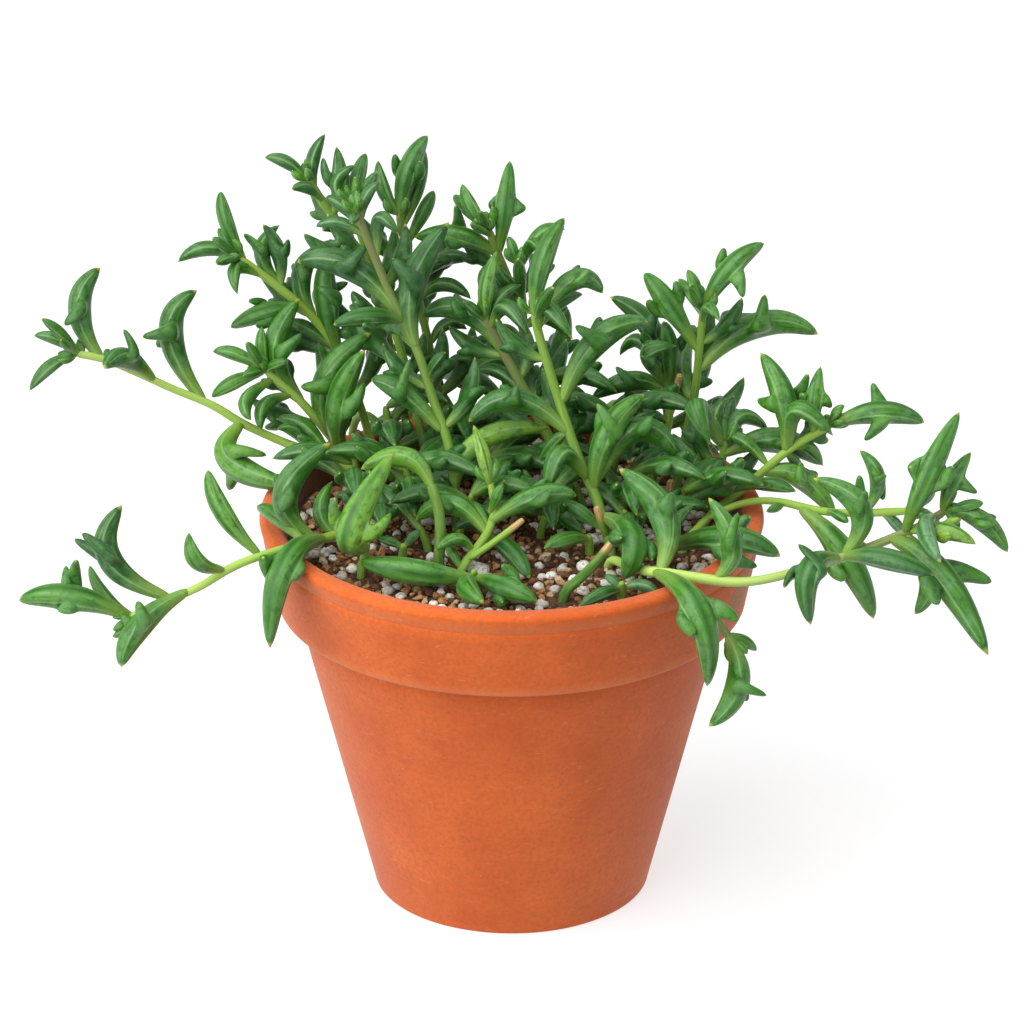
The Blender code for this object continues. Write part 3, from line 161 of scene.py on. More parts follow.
def mesh_object(name, points, faces, *materials):
    """An object from points in millimetres, smooth shaded."""
    mesh = bpy.data.meshes.new(name)
    mesh.from_pydata([Vector(point) * MM for point in points], [], faces)
    mesh.shade_smooth()
    for material in materials:
        mesh.materials.append(material)
    return place_in_scene(name, mesh)


def mark(body, name, values):
    """Stores a number for every point of a mesh, for its material to read."""
    body.data.attributes.new(name, "FLOAT", "POINT").data.foreach_set("value", values)


def paint(code):
    """An sRGB hex colour as the linear colour that a shader takes."""
    parts = [int(code[i:i + 2], 16) / 255 for i in (1, 3, 5)]
    return tuple(c / 12.92 if c <= 0.04045 else ((c + 0.055) / 1.055) ** 2.4 for c in parts) + (1.0,)


def per_mm(size):
    """A texture's scale for a pattern of this many millimetres."""
    return 1.0 / (size * MM)


def fill(node, inputs):
    """Gives the inputs of a shader node their values, or links them to other nodes' outputs."""
    for key, value in inputs.items():
        if isinstance(value, bpy.types.NodeSocket):
            node.id_data.links.new(value, node.inputs[key])
        else:
            node.inputs[key].default_value = value


def put(tree, kind, inputs, ramp=(), output=None, **settings):
    """Adds a shader node with its inputs, its ramp's stops and its settings, and gives its output:
    the named one, or the first in use."""
    made = tree.nodes.new("ShaderNode" + kind)
    for name, value in settings.items():
        setattr(made, name, value)
    for number, (place, code) in enumerate(ramp):
        stops = made.color_ramp.elements
        stop = stops[number] if number < 2 else stops.new(place)
        stop.position, stop.color = place, paint(code)
    fill(made, inputs)
    return made.outputs[output] if output else next(out for out in made.outputs if out.enabled)


def new_material(name):
    """A material, the function that adds a node to it, and the place that its patterns follow."""
    made = bpy.data.materials.new(name)
    made.use_nodes = True
    add = partial(put, made.node_tree)
    return made, add, add("TexCoord", {}, output="Object")


def finished(material, inputs):
    """A material once the inputs of its shader are given."""
    fill(material.node_tree.nodes["Principled BSDF"], inputs)
    return material


MIX_FIRST, MIX_SECOND = 6, 7


def stained(add, colour, *stains):
    """A colour with stains laid over it in turn. A stain is its hue and how much of it shows. That
    share may be a pattern with the values where the stain starts and ends, and the most it is."""
    for hue, share, *span in stains:
        if span:
            share = add("MapRange", {"Value": share, "From Min": span[0], "From Max": span[1],
                                     "To Max": span[2]})
        over = paint(hue) if isinstance(hue, str) else hue
        colour = add("Mix", {0: share, MIX_FIRST: colour, MIX_SECOND: over}, data_type="RGBA")
    return colour


SMEAR_PLACE = (0.0593, -0.024, 0.0922)
SMEAR_RADIUS = 8.0
SMEAR_HEART = 3.0


def fired_red_clay():
    """Unglazed earthenware: dry and matt, mottled by the fire, with fine grit and scratches, faint
    level turning lines, a paler line along the band's foot and under the lip, partly rubbed pale by
    handling and partly a painted highlight on those edges, a green smear where leaves rubbed it, and
    painted shade that darkens the inside wall."""
    made, add, place = new_material("fired_red_clay_unglazed")
    patches = add("TexNoise", {"Vector": place, "Scale": per_mm(28.0), "Detail": 4.0,
                               "Roughness": 0.6})
    body = add("ValToRGB", {"Fac": patches}, ramp=((0.3, "#CC5818"), (0.72, "#E66E27")))
    clouds = add("TexNoise", {"Vector": place, "Scale": per_mm(9.0), "Detail": 6.0,
                              "Roughness": 0.68})
    bloom = add("ValToRGB", {"Fac": clouds}, ramp=((0.5, "#000000"), (0.8, "#4A4A4A")))
    # Half-millimetre grit is finer than a picture point, so it is drawn at 0.7 mm
    grit = add("TexVoronoi", {"Vector": place, "Scale": per_mm(1.5)})
    dark = add("MapRange", {"Value": grit, "From Min": 0.1, "From Max": 0.24, "To Min": 0.34,
                            "To Max": 0.0})
    some = add("TexNoise", {"Vector": place, "Scale": per_mm(4.0)})
    few = add("MapRange", {"Value": some, "From Min": 0.5, "From Max": 0.62})
    specks = add("Math", {0: dark, 1: few}, operation="MULTIPLY")
    rubbed = add("Mapping", {"Vector": place, "Scale": (1.0, 1.0, 5.0)})
    scratches = add("TexNoise", {"Vector": rubbed, "Scale": per_mm(4.0), "Detail": 3.0,
                                 "Distortion": 1.2})
    grain = add("TexNoise", {"Vector": place, "Scale": per_mm(1.1), "Detail": 4.0,
                             "Roughness": 0.65})
    # The pale edge line: partly rubbing, partly a painted highlight
    edges = add("Attribute", {}, output="Fac", attribute_name="wear_and_highlight")
    wear_and_highlight = add("Math", {0: edges, 1: clouds}, operation="MULTIPLY")
    off = add("VectorMath", {0: place, 1: SMEAR_PLACE}, operation="DISTANCE")
    close = add("MapRange", {"Value": off, "From Min": SMEAR_RADIUS * MM,
                             "From Max": SMEAR_HEART * MM})
    streaky = add("MapRange", {"Value": scratches, "From Min": 0.42, "From Max": 0.52,
                               "To Max": 0.8})
    smear = add("Math", {0: close, 1: streaky}, operation="MULTIPLY")
    painted_inner_shade = add("Attribute", {}, output="Fac", attribute_name="painted_inner_shade")
    # Stains over the clay; the pale edge line is partly a painted highlight, and the dark inside wall
    # is painted shade
    colour = stained(add, body, ("#D68450", bloom), ("#7A3A22", specks),
                     ("#EBA57C", scratches, 0.63, 0.73, 0.24), ("#AE4610", grain, 0.56, 0.36, 0.3),
                     ("#DC8A58", wear_and_highlight), ("#5E7F30", smear), ("#6E3A20", painted_inner_shade))
    level = add("Mapping", {"Vector": place, "Scale": (1.0, 1.0, 26.0)})
    lines = add("TexNoise", {"Vector": level, "Scale": per_mm(40.0), "Detail": 5.0})
    lined = add("Bump", {"Height": lines, "Strength": 0.22, "Distance": 0.5 * MM})
    rough = add("Bump", {"Height": grain, "Strength": 0.5, "Distance": 0.2 * MM, "Normal": lined})
    return finished(made, {"Base Color": colour, "Normal": rough, "Roughness": 0.78, "IOR": 1.5,
                           "Specular IOR Level": 0.25, "Sheen Weight": 0.2,
                           "Sheen Roughness": 0.5})


# Heights of the pale line along the band's foot and under the lip: partly rubbing, partly a painted
# highlight
PALE_EDGE_HEIGHTS = (POT_HEIGHT - BAND_HEIGHT + 0.6, POT_HEIGHT - GROOVE_DROP + 0.9)
PALE_EDGE_REACH = 0.8
BAND_LEAST_RADIUS = BODY_TOP_RADIUS + 2.0
# How dark the inside wall is painted: painted shade
INNER_WALL_SHADE = 0.85


def pale_edge_share(point):
    """How pale the outside of the band is here, partly from rubbing and partly as a painted highlight
    on its edges: most along its foot and under the lip.
    """
    if Vector(point[:2]).length / MM <= BAND_LEAST_RADIUS:
        return 0.0
    return max(0.0, 1.0 - min(abs(point.z / MM - height) for height in PALE_EDGE_HEIGHTS) / PALE_EDGE_REACH)


profile = pot_profile()
pot = mesh_object("clay_pot", *turned(profile, POT_SEGMENTS, CLAY_WOBBLE), fired_red_clay())
mark(pot, "wear_and_highlight", [pale_edge_share(vertex.co) for vertex in pot.data.vertices])
# From the inner edge of the lip down to the drain the wall is darkened: painted shade
unshaded_points = len(profile) - WALL_STEPS - 3
mark(pot, "painted_inner_shade", [INNER_WALL_SHADE if number >= unshaded_points else 0.0
                   for number in range(len(profile))] * POT_SEGMENTS)
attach(pot, "root")
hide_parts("pot")

# ---------------------------------------------------------------- the shoots
# Soft juicy stems that stood up and then leaned over the rim, each one piece with its leaves. A leaf
# is a plump crescent with two small side teeth, like a dolphin with its fins. They grew from cuttings
# pushed into the mix, and some stems end in a dried cut.
SOIL_HEIGHT = 99.0
ROOT_DEPTH = 12.0
COLLAR = Vector((0.0, 0.0, 1.6))
STEM_RADII = (1.35, 1.05)
# Dark blue-green for rule-made leaves and the inside shoots: painted shade inside the plant
DARKENED_INSIDE_SHADE = 0.3
USUAL_BLUSH = 0.12
USUAL_RIPENESS = 0.28


def spot_at_depth(right, down, depth):
    """The place on the drawing that lies this much nearer to the eye than its plane."""
    step = DRAWING_STEP * (EYE_DISTANCE - depth) / EYE_DISTANCE
    sideways, rise = (right - DRAWING_MIDDLE[0]) * step, (DRAWING_MIDDLE[1] - down) * step
    return AIM + ACROSS * sideways + UPWARD * rise + OUTWARD * depth


def spot(right, down, back):
    """The place on the drawing that lies this far behind the pot's axis."""
    rise = (DRAWING_MIDDLE[1] - down) * DRAWING_STEP
    depth = (UPWARD.y * rise - back) / (-OUTWARD.y + UPWARD.y * rise / EYE_DISTANCE)
    return spot_at_depth(right, down, depth)


def soil_spot(right, down):
    """The place on the drawing where the soil's surface lies."""
    rise = (DRAWING_MIDDLE[1] - down) * DRAWING_STEP
    drop = SOIL_HEIGHT - AIM.z
    depth = (drop - UPWARD.z * rise) / (OUTWARD.z - UPWARD.z * rise / EYE_DISTANCE)
    return spot_at_depth(right, down, depth)


def depth_of(point):
    return (point - AIM).dot(OUTWARD)


def drawn(point):
    """Where a point in space shows on the drawing."""
    step = DRAWING_STEP * (EYE_DISTANCE - depth_of(point)) / EYE_DISTANCE
    away = point - AIM
    return Vector((DRAWING_MIDDLE[0] + away.dot(ACROSS) / step,
                   DRAWING_MIDDLE[1] - away.dot(UPWARD) / step))


CURVE_STEPS = 8


def smooth_route(points, spacing):
    """Points spaced evenly along a curve through the given ones."""
    ends = [2 * points[0] - points[1]] + list(points) + [2 * points[-1] - points[-2]]
    fine = []
    for before, start, end, after in zip(ends, ends[1:], ends[2:], ends[3:]):
        for part in range(CURVE_STEPS):
            t = part / CURVE_STEPS
            fine.append(0.5 * (2 * start + (end - before) * t
                               + (2 * before - 5 * start + 4 * end - after) * t ** 2
                               + (3 * start - before - 3 * end + after) * t ** 3))
    fine.append(points[-1])
    length = sum((b - a).length for a, b in zip(fine, fine[1:]))
    count = max(1, round(length / spacing))
    route, walked, target = [fine[0]], 0.0, length / count
    for a, b in zip(fine, fine[1:]):
        step = (b - a).length
        while len(route) < count and walked + step >= target * len(route):
            route.append(a.lerp(b, (target * len(route) - walked) / step))
        walked += step
    return route + [fine[-1]]


class Shoot:
    """A shoot's stems in space, its drawn leaves, how many more leaves grow by rule, and its looks:
    its leaves' shade, how far its upper stem is blushed purple-brown, how ripe its stem's colour
    is, and the number of the stem that ends in a dried cut."""

    def __init__(self, root, points, draw, filling, leaves=(), branches=(), radii=STEM_RADII,
                 shade=DARKENED_INSIDE_SHADE, blush=USUAL_BLUSH, ripeness=USUAL_RIPENESS, cut=None):
        self.root, self.draw, self.filling, self.leaves = root, draw, filling, leaves
        self.shade, self.blush, self.ripeness, self.cut = shade, blush, ripeness, cut
        self.through = [[root + COLLAR] + points] + list(branches)
        self.radii = [radii] + [(radii[1], radii[1])] * len(branches)

    def routes(self, spacing):
        """Its stems as smooth routes, the first straight up out of its hole."""
        routes = [smooth_route(points, spacing) for points in self.through]
        return [[self.root - Vector((0, 0, ROOT_DEPTH))] + routes[0]] + routes[1:]


shoots = {}


def shoot(name, stem, *leaves, branches=(), filling=0, **looks):
    """Adds a shoot of the drawing. Its stem runs from (right, down) in the mix to its tip, and its
    other points add how far they lie behind the pot's axis, in mm, as a branch's points do."""
    shoots[name] = Shoot(soil_spot(*stem[0]), [spot(*place) for place in stem[1:]],
                         random.Random(len(name) + len(shoots)), filling, leaves,
                         [[spot(*place) for place in branch] for branch in branches], **looks)


def leaf(root, tip, over, wide, *fins, shade=None):
    """A leaf from its root on the stem to its tip, with how far over its back bows. tip may add how
    much nearer to the eye it is than the root, over how far the crown of the back bows to the eye,
    both in mm. fins are the tips of its side teeth, the nearer one first; the rule sets the rest."""
    return {"root": root, "tip": tip, "over": over, "wide": wide, "fins": fins, "shade": shade}


def plain(*places, **shades):
    """A leaf without side teeth."""
    return leaf(*places, **shades) | {"fins": None}


# The shoots as they are drawn. Shade 0 is waxy grey-green, 0.25 dark blue-green, 0.5 mid green and
# 1 pale yellow-green; ripeness 0 is deep green, 0.4 mid green and 1 pale yellow-green.
shoot("shoot_low_left",
    [(364, 532), (337, 535, -12), (318, 540, -19), (300, 545, -27), (262, 555, -36),
     (225, 570, -40), (200, 588, -42), (173, 598, -43), (130, 617, -44)],
    leaf((128, 618), (18, 601), (70, 596), 6.2, (76, 560), (66, 563)),
    plain((132, 616), (89, 565, -6), (103, 595), 3.0),
    leaf((171, 598), (123, 504), (106, 559), 6.0, (81, 532), (73, 538), shade=0.2),
    leaf((190, 592), (123, 667), (139, 625), 6.0, (138, 600), (121, 613)),
    leaf((226, 571), (189, 531, 8), (195, 562, 6), 6.4, (188, 557)),
    plain((260, 555), (208, 469), (222, 512), 4.6, shade=0.7),
    leaf((326, 539), (270, 650, 21), (283, 566, 12), 6.4, (263, 557), (286, 580)),
    leaf((315, 541), (332, 442, 4), (282, 494), 6.4, (279, 513), shade=0.3),
    plain((305, 543), (256, 507, -6), (278, 517), 5.8),
    plain((336, 539), (333, 480, -8), (318, 512, 2), 6.6),
    shade=0.5, ripeness=0.72)
shoot("shoot_upper_left",
    [(374, 492), (358, 476, 24), (340, 461, 26), (300, 449, 27), (260, 432, 27), (235, 420, 26),
     (210, 402, 25), (190, 396, 24), (170, 388, 23), (157, 381, 22), (130, 370, 21), (105, 358, 20),
     (77, 354, 19)],
    leaf((207, 400), (198, 290), (168, 332), 6.0, (141, 337), (157, 348)),
    leaf((157, 381), (104, 369, 16), (124, 356), 6.2, (123, 328)),
    leaf((106, 358), (101, 267), (77, 308), 5.6, (64, 326), (72, 322), shade=0.35),
    plain((78, 354), (29, 392), (48, 366), 3.8),
    plain((80, 354), (33, 336), (55, 337), 3.4),
    plain((82, 354), (42, 319), (60, 331), 3.0),
    plain((78, 354), (62, 340, 5), None, 3.0),
    plain((84, 354), (80, 338, -4), None, 3.0),
    leaf((241, 423), (300, 488, 12), (228, 462, 0), 6.6, (281, 453), (229, 491), shade=0.6),
    plain((310, 452), (277, 430, 5), (292, 428), 5.0),
    plain((330, 457), (275, 419, -2), (305, 424), 5.0),
    shade=0.4, ripeness=0.78)
shoot("shoot_top_left",
    [(378, 472), (372, 445, 41), (360, 405, 44), (347, 370, 45), (335, 345, 45), (318, 322, 44),
     (305, 310, 43), (293, 297, 42), (280, 288, 41), (265, 277, 40), (250, 265, 39),
     (240, 258, 38)],
    plain((246, 262), (221, 191), (226, 222), 3.8),
    leaf((285, 291), (281, 224), (259, 252), 4.6, (243, 233)),
    leaf((264, 277), (238, 296, 8), (234, 266), 5.0, (252, 243)),
    plain((242, 259), (177, 263), (206, 246), 5.0),
    plain((242, 259), (217, 227), None, 3.0),
    plain((240, 258), (213, 238), None, 3.0),
    plain((241, 258), (216, 264, 8), None, 3.0),
    leaf((316, 320), (325, 245), (299, 276), 5.4),
    leaf((340, 355), (328, 255, 6), None, 6.0, (317, 287), (350, 282)),
    plain((337, 348), (287, 322), (307, 326), 5.0),
    leaf((302, 307), (230, 328), (264, 312), 5.2),
    branches=[[(374, 452, 40), (366, 443, 37), (357, 431, 33)]],
    filling=4, shade=0.42, ripeness=0.6, cut=1)
shoot("shoot_inner_left",
    [(356, 482), (348, 458, 34), (330, 436, 35), (305, 405, 33), (293, 395, 32), (280, 382, 31),
     (266, 371, 30)],
    leaf((302, 402), (301, 281), (268, 345), 6.4, (303, 322)),
    plain((266, 372), (289, 361, 6), None, 5.0),
    plain((266, 372), (212, 352), (235, 352), 5.4),
    plain((267, 372), (211, 398), (232, 382), 5.4),
    plain((274, 377), (252, 421, 8), (244, 400), 5.4),
    leaf((292, 394), (262, 432, 8), (262, 405), 5.0, (254, 413), (284, 416)),
    plain((267, 372), (262, 326), None, 3.4),
    plain((266, 371), (247, 342, 3), None, 3.4),
    plain((266, 371), (243, 376, 6), None, 3.2),
    leaf((333, 440), (373, 333), (324, 380), 6.4, (300, 387), (319, 342), shade=0.6),
    leaf((344, 452), (366, 350, 8), (338, 402), 6.8, (365, 382)),
    filling=4, shade=0.5, ripeness=0.72)
shoot("shoot_top",
    [(415, 478), (410, 440, 38), (400, 395, 42), (390, 345, 44), (376, 295, 45), (362, 262, 45),
     (350, 240, 45), (330, 213, 45), (320, 198, 45), (309, 180, 44)],
    plain((311, 183), (264, 158), (286, 160), 5.0),
    plain((315, 190), (326, 133), (311, 160), 5.2),
    plain((322, 202), (292, 191, 6), (305, 186), 4.0),
    plain((310, 181), (304, 163, 3), None, 2.8),
    leaf((334, 218), (336, 145), (341, 182), 4.4, (320, 153)),
    plain((352, 244), (322, 232, 8), (336, 226), 4.4),
    filling=6, shade=0.3)
shoot("shoot_behind_middle",
    [(432, 496), (430, 470, 25), (418, 420, 30), (405, 365, 33), (390, 315, 34), (372, 265, 34),
     (358, 228, 33), (351, 202, 32)],
    plain((353, 208), (357, 164), (334, 184), 5.8),
    plain((353, 208), (366, 152, -5), None, 4.4),
    plain((356, 218), (378, 172), None, 4.0),
    plain((352, 204), (356, 193, 6), None, 3.0),
    leaf((376, 276), (330, 252, -6), (350, 250), 5.0),
    leaf((396, 335), (352, 290, 6), (364, 310), 5.4),
    filling=5, shade=0.3)
shoot("shoot_middle",
    [(457, 528), (456, 495, 4), (451, 460, 8), (447, 434, 11), (432, 400, 14), (425, 370, 16),
     (415, 345, 18), (400, 315, 19), (388, 290, 20), (378, 265, 20), (368, 240, 20), (360, 225, 20),
     (357, 212, 20)],
    leaf((399, 313), (296, 262), (350, 264), 6.4, (368, 243)),
    leaf((418, 350), (450, 221), (410, 285), 6.4, (391, 257)),
    plain((366, 237), (315, 227), (338, 221), 4.6),
    plain((377, 262), (400, 237, 6), (379, 215), 5.0),
    plain((362, 229), (325, 198), (341, 203), 4.4),
    plain((360, 224), (381, 181), (364, 197), 4.0),
    plain((358, 214), (352, 224, 7), None, 3.0),
    leaf((446, 430), (371, 380), (403, 391), 6.8, (411, 356), shade=0.4),
    leaf((403, 322), (333, 325, 8), (368, 316), 5.4),
    plain((427, 378), (446, 352, 6), None, 4.0),
    plain((456, 492), (550, 428), (480, 438), 5.2, shade=0.85),
    radii=(1.45, 1.1), filling=5, shade=0.24, blush=0.85)
shoot("shoot_behind_right_of_middle",
    [(448, 474), (446, 440, 41), (438, 395, 46), (428, 340, 49), (415, 285, 50), (405, 245, 50),
     (399, 215, 49)],
    leaf((400, 222), (428, 135), (407, 172), 5.2),
    plain((401, 230), (420, 143, -8), (420, 180), 3.6),
    plain((399, 216), (378, 159), (382, 190), 4.4),
    plain((405, 245), (434, 190), (425, 210), 3.8),
    leaf((414, 285), (476, 262), (445, 256), 5.4, (437, 256)),
    leaf((418, 300), (472, 300, 5), (446, 282), 5.2),
    leaf((428, 345), (468, 330, -5), (446, 322), 5.2),
    filling=5, shade=0.33, blush=0.5)
shoot("shoot_back_middle",
    [(548, 458), (545, 430, 50), (538, 400, 52), (528, 360, 52), (523, 330, 50), (516, 300, 48),
     (505, 270, 46), (496, 250, 45), (489, 230, 44)],
    leaf((497, 254), (510, 160), (505, 207), 4.6, (526, 208), (488, 205)),
    plain((490, 235), (462, 183), (470, 208), 4.4),
    plain((490, 232), (453, 194), (466, 206), 4.2),
    leaf((497, 256), (414, 238), (458, 235), 5.4, (455, 205)),
    plain((491, 236), (470, 224, 5), None, 3.0),
    plain((489, 231), (480, 213, 3), None, 3.4),
    plain((502, 264), (482, 294, 6), (484, 272), 5.0),
    leaf((527, 350), (478, 348, -6), (504, 328), 5.6),
    filling=5, shade=0.5, blush=0.4)
shoot("shoot_purple_stem",
    [(585, 516), (578, 495, 12), (560, 460, 17), (548, 435, 20), (535, 410, 22), (520, 383, 24),
     (505, 355, 26), (490, 330, 27), (485, 318, 27)],
    plain((487, 323), (497, 250), (485, 288), 4.4, shade=0.75),
    leaf((504, 352), (421, 317), (463, 308), 5.6),
    leaf((490, 330), (530, 340, 12), (508, 304), 6.2),
    plain((489, 328), (522, 284), (498, 298), 5.0),
    plain((486, 320), (463, 301, 5), None, 4.0),
    leaf((572, 485), (589, 542, 20), (560, 512), 6.4, shade=0.35),
    leaf((527, 396), (478, 372, -6), (500, 370), 5.6),
    radii=(1.6, 1.3), filling=5, shade=0.28, blush=0.95)
shoot("shoot_back_centre",
    [(520, 470), (520, 440, 40), (520, 395, 42), (522, 350, 42), (524, 310, 41), (520, 280, 40),
     (518, 264, 40)],
    plain((519, 268), (566, 230), (541, 231), 5.0),
    plain((518, 265), (508, 236), None, 3.0),
    plain((519, 270), (540, 253, 8), (532, 242), 4.4),
    plain((522, 290), (494, 262, 6), (503, 280), 4.6),
    plain((523, 302), (518, 259, 9), None, 3.4),
    leaf((523, 325), (570, 338, -4), (548, 316), 5.6),
    leaf((521, 380), (468, 378, 5), (495, 358), 5.8),
    filling=5, shade=0.45)
shoot("shoot_right_of_middle",
    [(612, 552), (603, 522, -8), (595, 491, -4), (582, 468, 0), (569, 431, 4), (556, 392, 7),
     (545, 355, 9), (537, 330, 10), (534, 314, 10)],
    plain((534, 318), (565, 217), (541, 263), 5.2),
    leaf((538, 332), (574, 342, 6), (545, 303), 5.6),
    leaf((535, 322), (603, 294, -4), (575, 277), 5.4),
    plain((537, 330), (592, 287, 4), (560, 296), 4.8),
    plain((535, 322), (553, 289, 3), None, 3.0),
    leaf((560, 404), (649, 322), (597, 338), 6.2, (574, 325), shade=0.35),
    leaf((570, 436), (468, 423), (514, 397), 5.8, (517, 384), shade=0.35),
    leaf((590, 482), (546, 504, 10), (558, 450, 3), 6.4),
    leaf((595, 490), (645, 394), (607, 432), 6.0, (596, 402), shade=0.5),
    leaf((592, 486), (680, 460, -3), (636, 426), 6.4),
    leaf((603, 515), (622, 580, 25), (634, 540, 14), 6.8, (652, 560)),
    plain((604, 530), (560, 500, -3), (580, 512), 4.6),
    leaf((569, 432), (540, 462, -6), None, 5.4),
    branches=[[(607, 538, -11), (601, 521, -13), (596, 506, -13)]],
    radii=(1.55, 1.2), filling=5, shade=0.42, cut=1)
shoot("shoot_top_right",
    [(676, 492), (682, 450, 28), (690, 420, 29), (695, 395, 29), (698, 363, 28), (701, 335, 27),
     (703, 310, 26)],
    leaf((700, 352), (644, 273), (668, 303), 5.2),
    leaf((703, 312), (765, 243), (728, 269), 5.0, (743, 298)),
    plain((703, 311), (687, 269), None, 3.4),
    plain((702, 314), (689, 285, 4), None, 3.0),
    plain((702, 322), (719, 323, 6), (708, 306), 4.0),
    leaf((697, 373), (819, 335), (758, 322), 6.2, (765, 293), (733, 317)),
    plain((694, 402), (692, 338, -8), (681, 370), 4.6),
    plain((702, 315), (678, 278, -6), None, 3.2),
    filling=4, shade=0.5)
shoot("shoot_centre_right",
    [(648, 492), (661, 455, 31), (669, 425, 34), (671, 400, 35), (668, 382, 35)],
    leaf((669, 387), (609, 297), (652, 327), 5.2, (659, 298)),
    leaf((670, 392), (662, 322, -5), (669, 352), 5.0, (686, 330)),
    leaf((668, 384), (678, 346, 14), (645, 352, 6), 5.0),
    leaf((670, 392), (591, 399), (632, 379), 5.6, (615, 366)),
    plain((668, 382), (619, 357, -6), (640, 338), 4.4),
    leaf((670, 408), (610, 408, -8), (640, 395), 5.4),
    plain((669, 424), (640, 440, 6), (650, 415), 5.0),
    branches=[[(671, 404, 34), (676, 390, 31), (680, 374, 29)]],
    filling=4, shade=0.36, ripeness=0.5, cut=1)
shoot("shoot_right_rim",
    [(706, 506), (716, 492, 15), (720, 475, 15), (723, 455, 15), (725, 441, 15)],
    leaf((723, 450), (712, 449, 16), (694, 402, 6), 6.0),
    plain((724, 444), (727, 397), (714, 418), 4.6),
    leaf((719, 479), (672, 432), (690, 459), 6.4),
    plain((719, 480), (704, 470, 3), None, 3.0),
    plain((723, 455), (743, 428), None, 4.0),
    leaf((723, 452), (770, 432, -6), (740, 414), 6.0),
    leaf((723, 456), (823, 466, -8), (778, 438), 6.6),
    filling=3, shade=0.36)
shoot("shoot_upper_right",
    [(680, 550), (697, 530, -8), (712, 513, 0), (730, 499, 8), (748, 485, 9), (762, 473, 8),
     (788, 449, 8), (814, 434, 8), (830, 426, 8)],
    leaf((784, 453), (760, 352), (786, 402), 6.4, (808, 373), (759, 400)),
    leaf((813, 434), (821, 365), (814, 400), 4.2, (803, 394), (830, 407)),
    leaf((829, 427), (925, 423), (880, 411), 6.0, (864, 441), (872, 382)),
    leaf((788, 449), (835, 438, 10), (797, 405, 4), 6.2),
    leaf((763, 473), (836, 518), (802, 476), 5.8, (801, 461), shade=0.7),
    plain((746, 487), (797, 492, 8), (770, 483), 5.0),
    plain((820, 431), (827, 414, 3), None, 3.0),
    plain((790, 448), (823, 467, -6), (810, 446), 4.8),
    plain((786, 451), (803, 476, -5), None, 4.0),
    leaf((770, 465), (725, 436, -9), (745, 440), 6.0),
    leaf((800, 507), (874, 620), (846, 556), 6.6),
    leaf((866, 513), (858, 449, 4), (880, 477), 5.4, (887, 475), (884, 509)),
    plain((782, 501), (765, 512, -3), None, 4.0),
    plain((880, 513), (905, 538, -4), None, 4.0, shade=0.0),
    plain((826, 512), (848, 523, 4), None, 3.0),
    leaf((906, 511), (935, 490, -8), None, 5.0),
    plain((907, 511), (940, 524, -4), None, 4.4),
    branches=[[(706, 520, -3), (728, 507, -4), (755, 500, -2), (782, 501, -3), (821, 512, -8),
               (869, 513, -10), (908, 511, -10)]],
    filling=3, shade=0.5, ripeness=0.5)
shoot("shoot_low_right",
    [(607, 562), (640, 570, -36), (676, 574, -46), (710, 580, -50), (747, 583, -52),
     (776, 577, -53), (839, 559, -50), (892, 538, -44), (914, 530, -41), (931, 521, -39),
     (945, 511, -38)],
    leaf((652, 573), (707, 688, 8), (700, 612, 17), 6.6, (696, 637), (739, 622)),
    plain((727, 633), (757, 651, -4), None, 4.8),
    leaf((728, 635), (708, 727), (740, 685), 6.2, (768, 696)),
    leaf((713, 581), (708, 497), (734, 545), 6.2, (739, 505)),
    leaf((838, 559), (811, 626, 8), (808, 570, 7), 6.4, (784, 588), (797, 543), shade=0.3),
    leaf((905, 534), (914, 615, -5), (932, 575), 5.0),
    leaf((890, 539), (989, 657, 10), (940, 572), 6.6, (939, 606), (993, 583)),
    plain((842, 558), (934, 576, 4), (885, 558), 5.4, shade=0.2),
    leaf((660, 573), (618, 468, -12), (666, 515, -2), 6.8, (672, 492)),
    leaf((906, 533), (960, 411), (928, 475), 5.4, (910, 467)),
    leaf((943, 512), (972, 451), (952, 480), 4.2, (986, 498)),
    plain((945, 511), (984, 503, 3), None, 3.6),
    leaf((944, 511), (1008, 553), (982, 519), 5.4),
    leaf((908, 532), (977, 545, 6), (945, 529), 5.0, shade=0.9),
    plain((936, 518), (940, 563, 12), (924, 530), 5.4, shade=0.0),
    leaf((845, 557), (812, 478), (863, 508), 6.2, (867, 490), (858, 461)),
    plain((945, 511), (948, 480, -3), None, 3.4),
    plain((945, 511), (958, 533, 8), None, 3.4),
    branches=[[(672, 573, -45), (684, 579, -49), (693, 590, -53), (706, 606, -55), (718, 621, -56),
               (729, 637, -56)]],
    radii=(1.5, 1.2), shade=0.48, blush=0.9, ripeness=0.95)
shoot("shoot_right_inside",
    [(662, 560), (664, 544, -20)],
    leaf((664, 550), (781, 557, 16), (728, 537, 5), 6.2, (759, 567)),
    leaf((664, 548), (695, 503), (672, 525), 5.2, (660, 497)),
    shade=0.4)
shoot("shoot_front_middle",
    [(456, 580), (464, 565, -30), (475, 550, -26), (488, 535, -22), (497, 518, -20),
     (493, 495, -18), (490, 482, -17)],
    leaf((490, 533), (415, 521), (452, 502), 5.6),
    leaf((496, 523), (577, 496), (537, 495), 5.4),
    plain((474, 551), (434, 552, 6), (456, 537), 5.0),
    leaf((491, 488), (473, 424), (484, 456), 3.6, (504, 437), (470, 446), shade=1.0),
    plain((496, 514), (503, 484), None, 3.0),
    plain((491, 531), (460, 506, -7), (478, 508), 5.0),
    plain((462, 569), (446, 545, -3), None, 3.4),
    branches=[[(468, 560, -29), (500, 538, -29), (524, 519, -28)]],
    radii=(1.35, 1.0), shade=0.55, ripeness=0.4, cut=1)
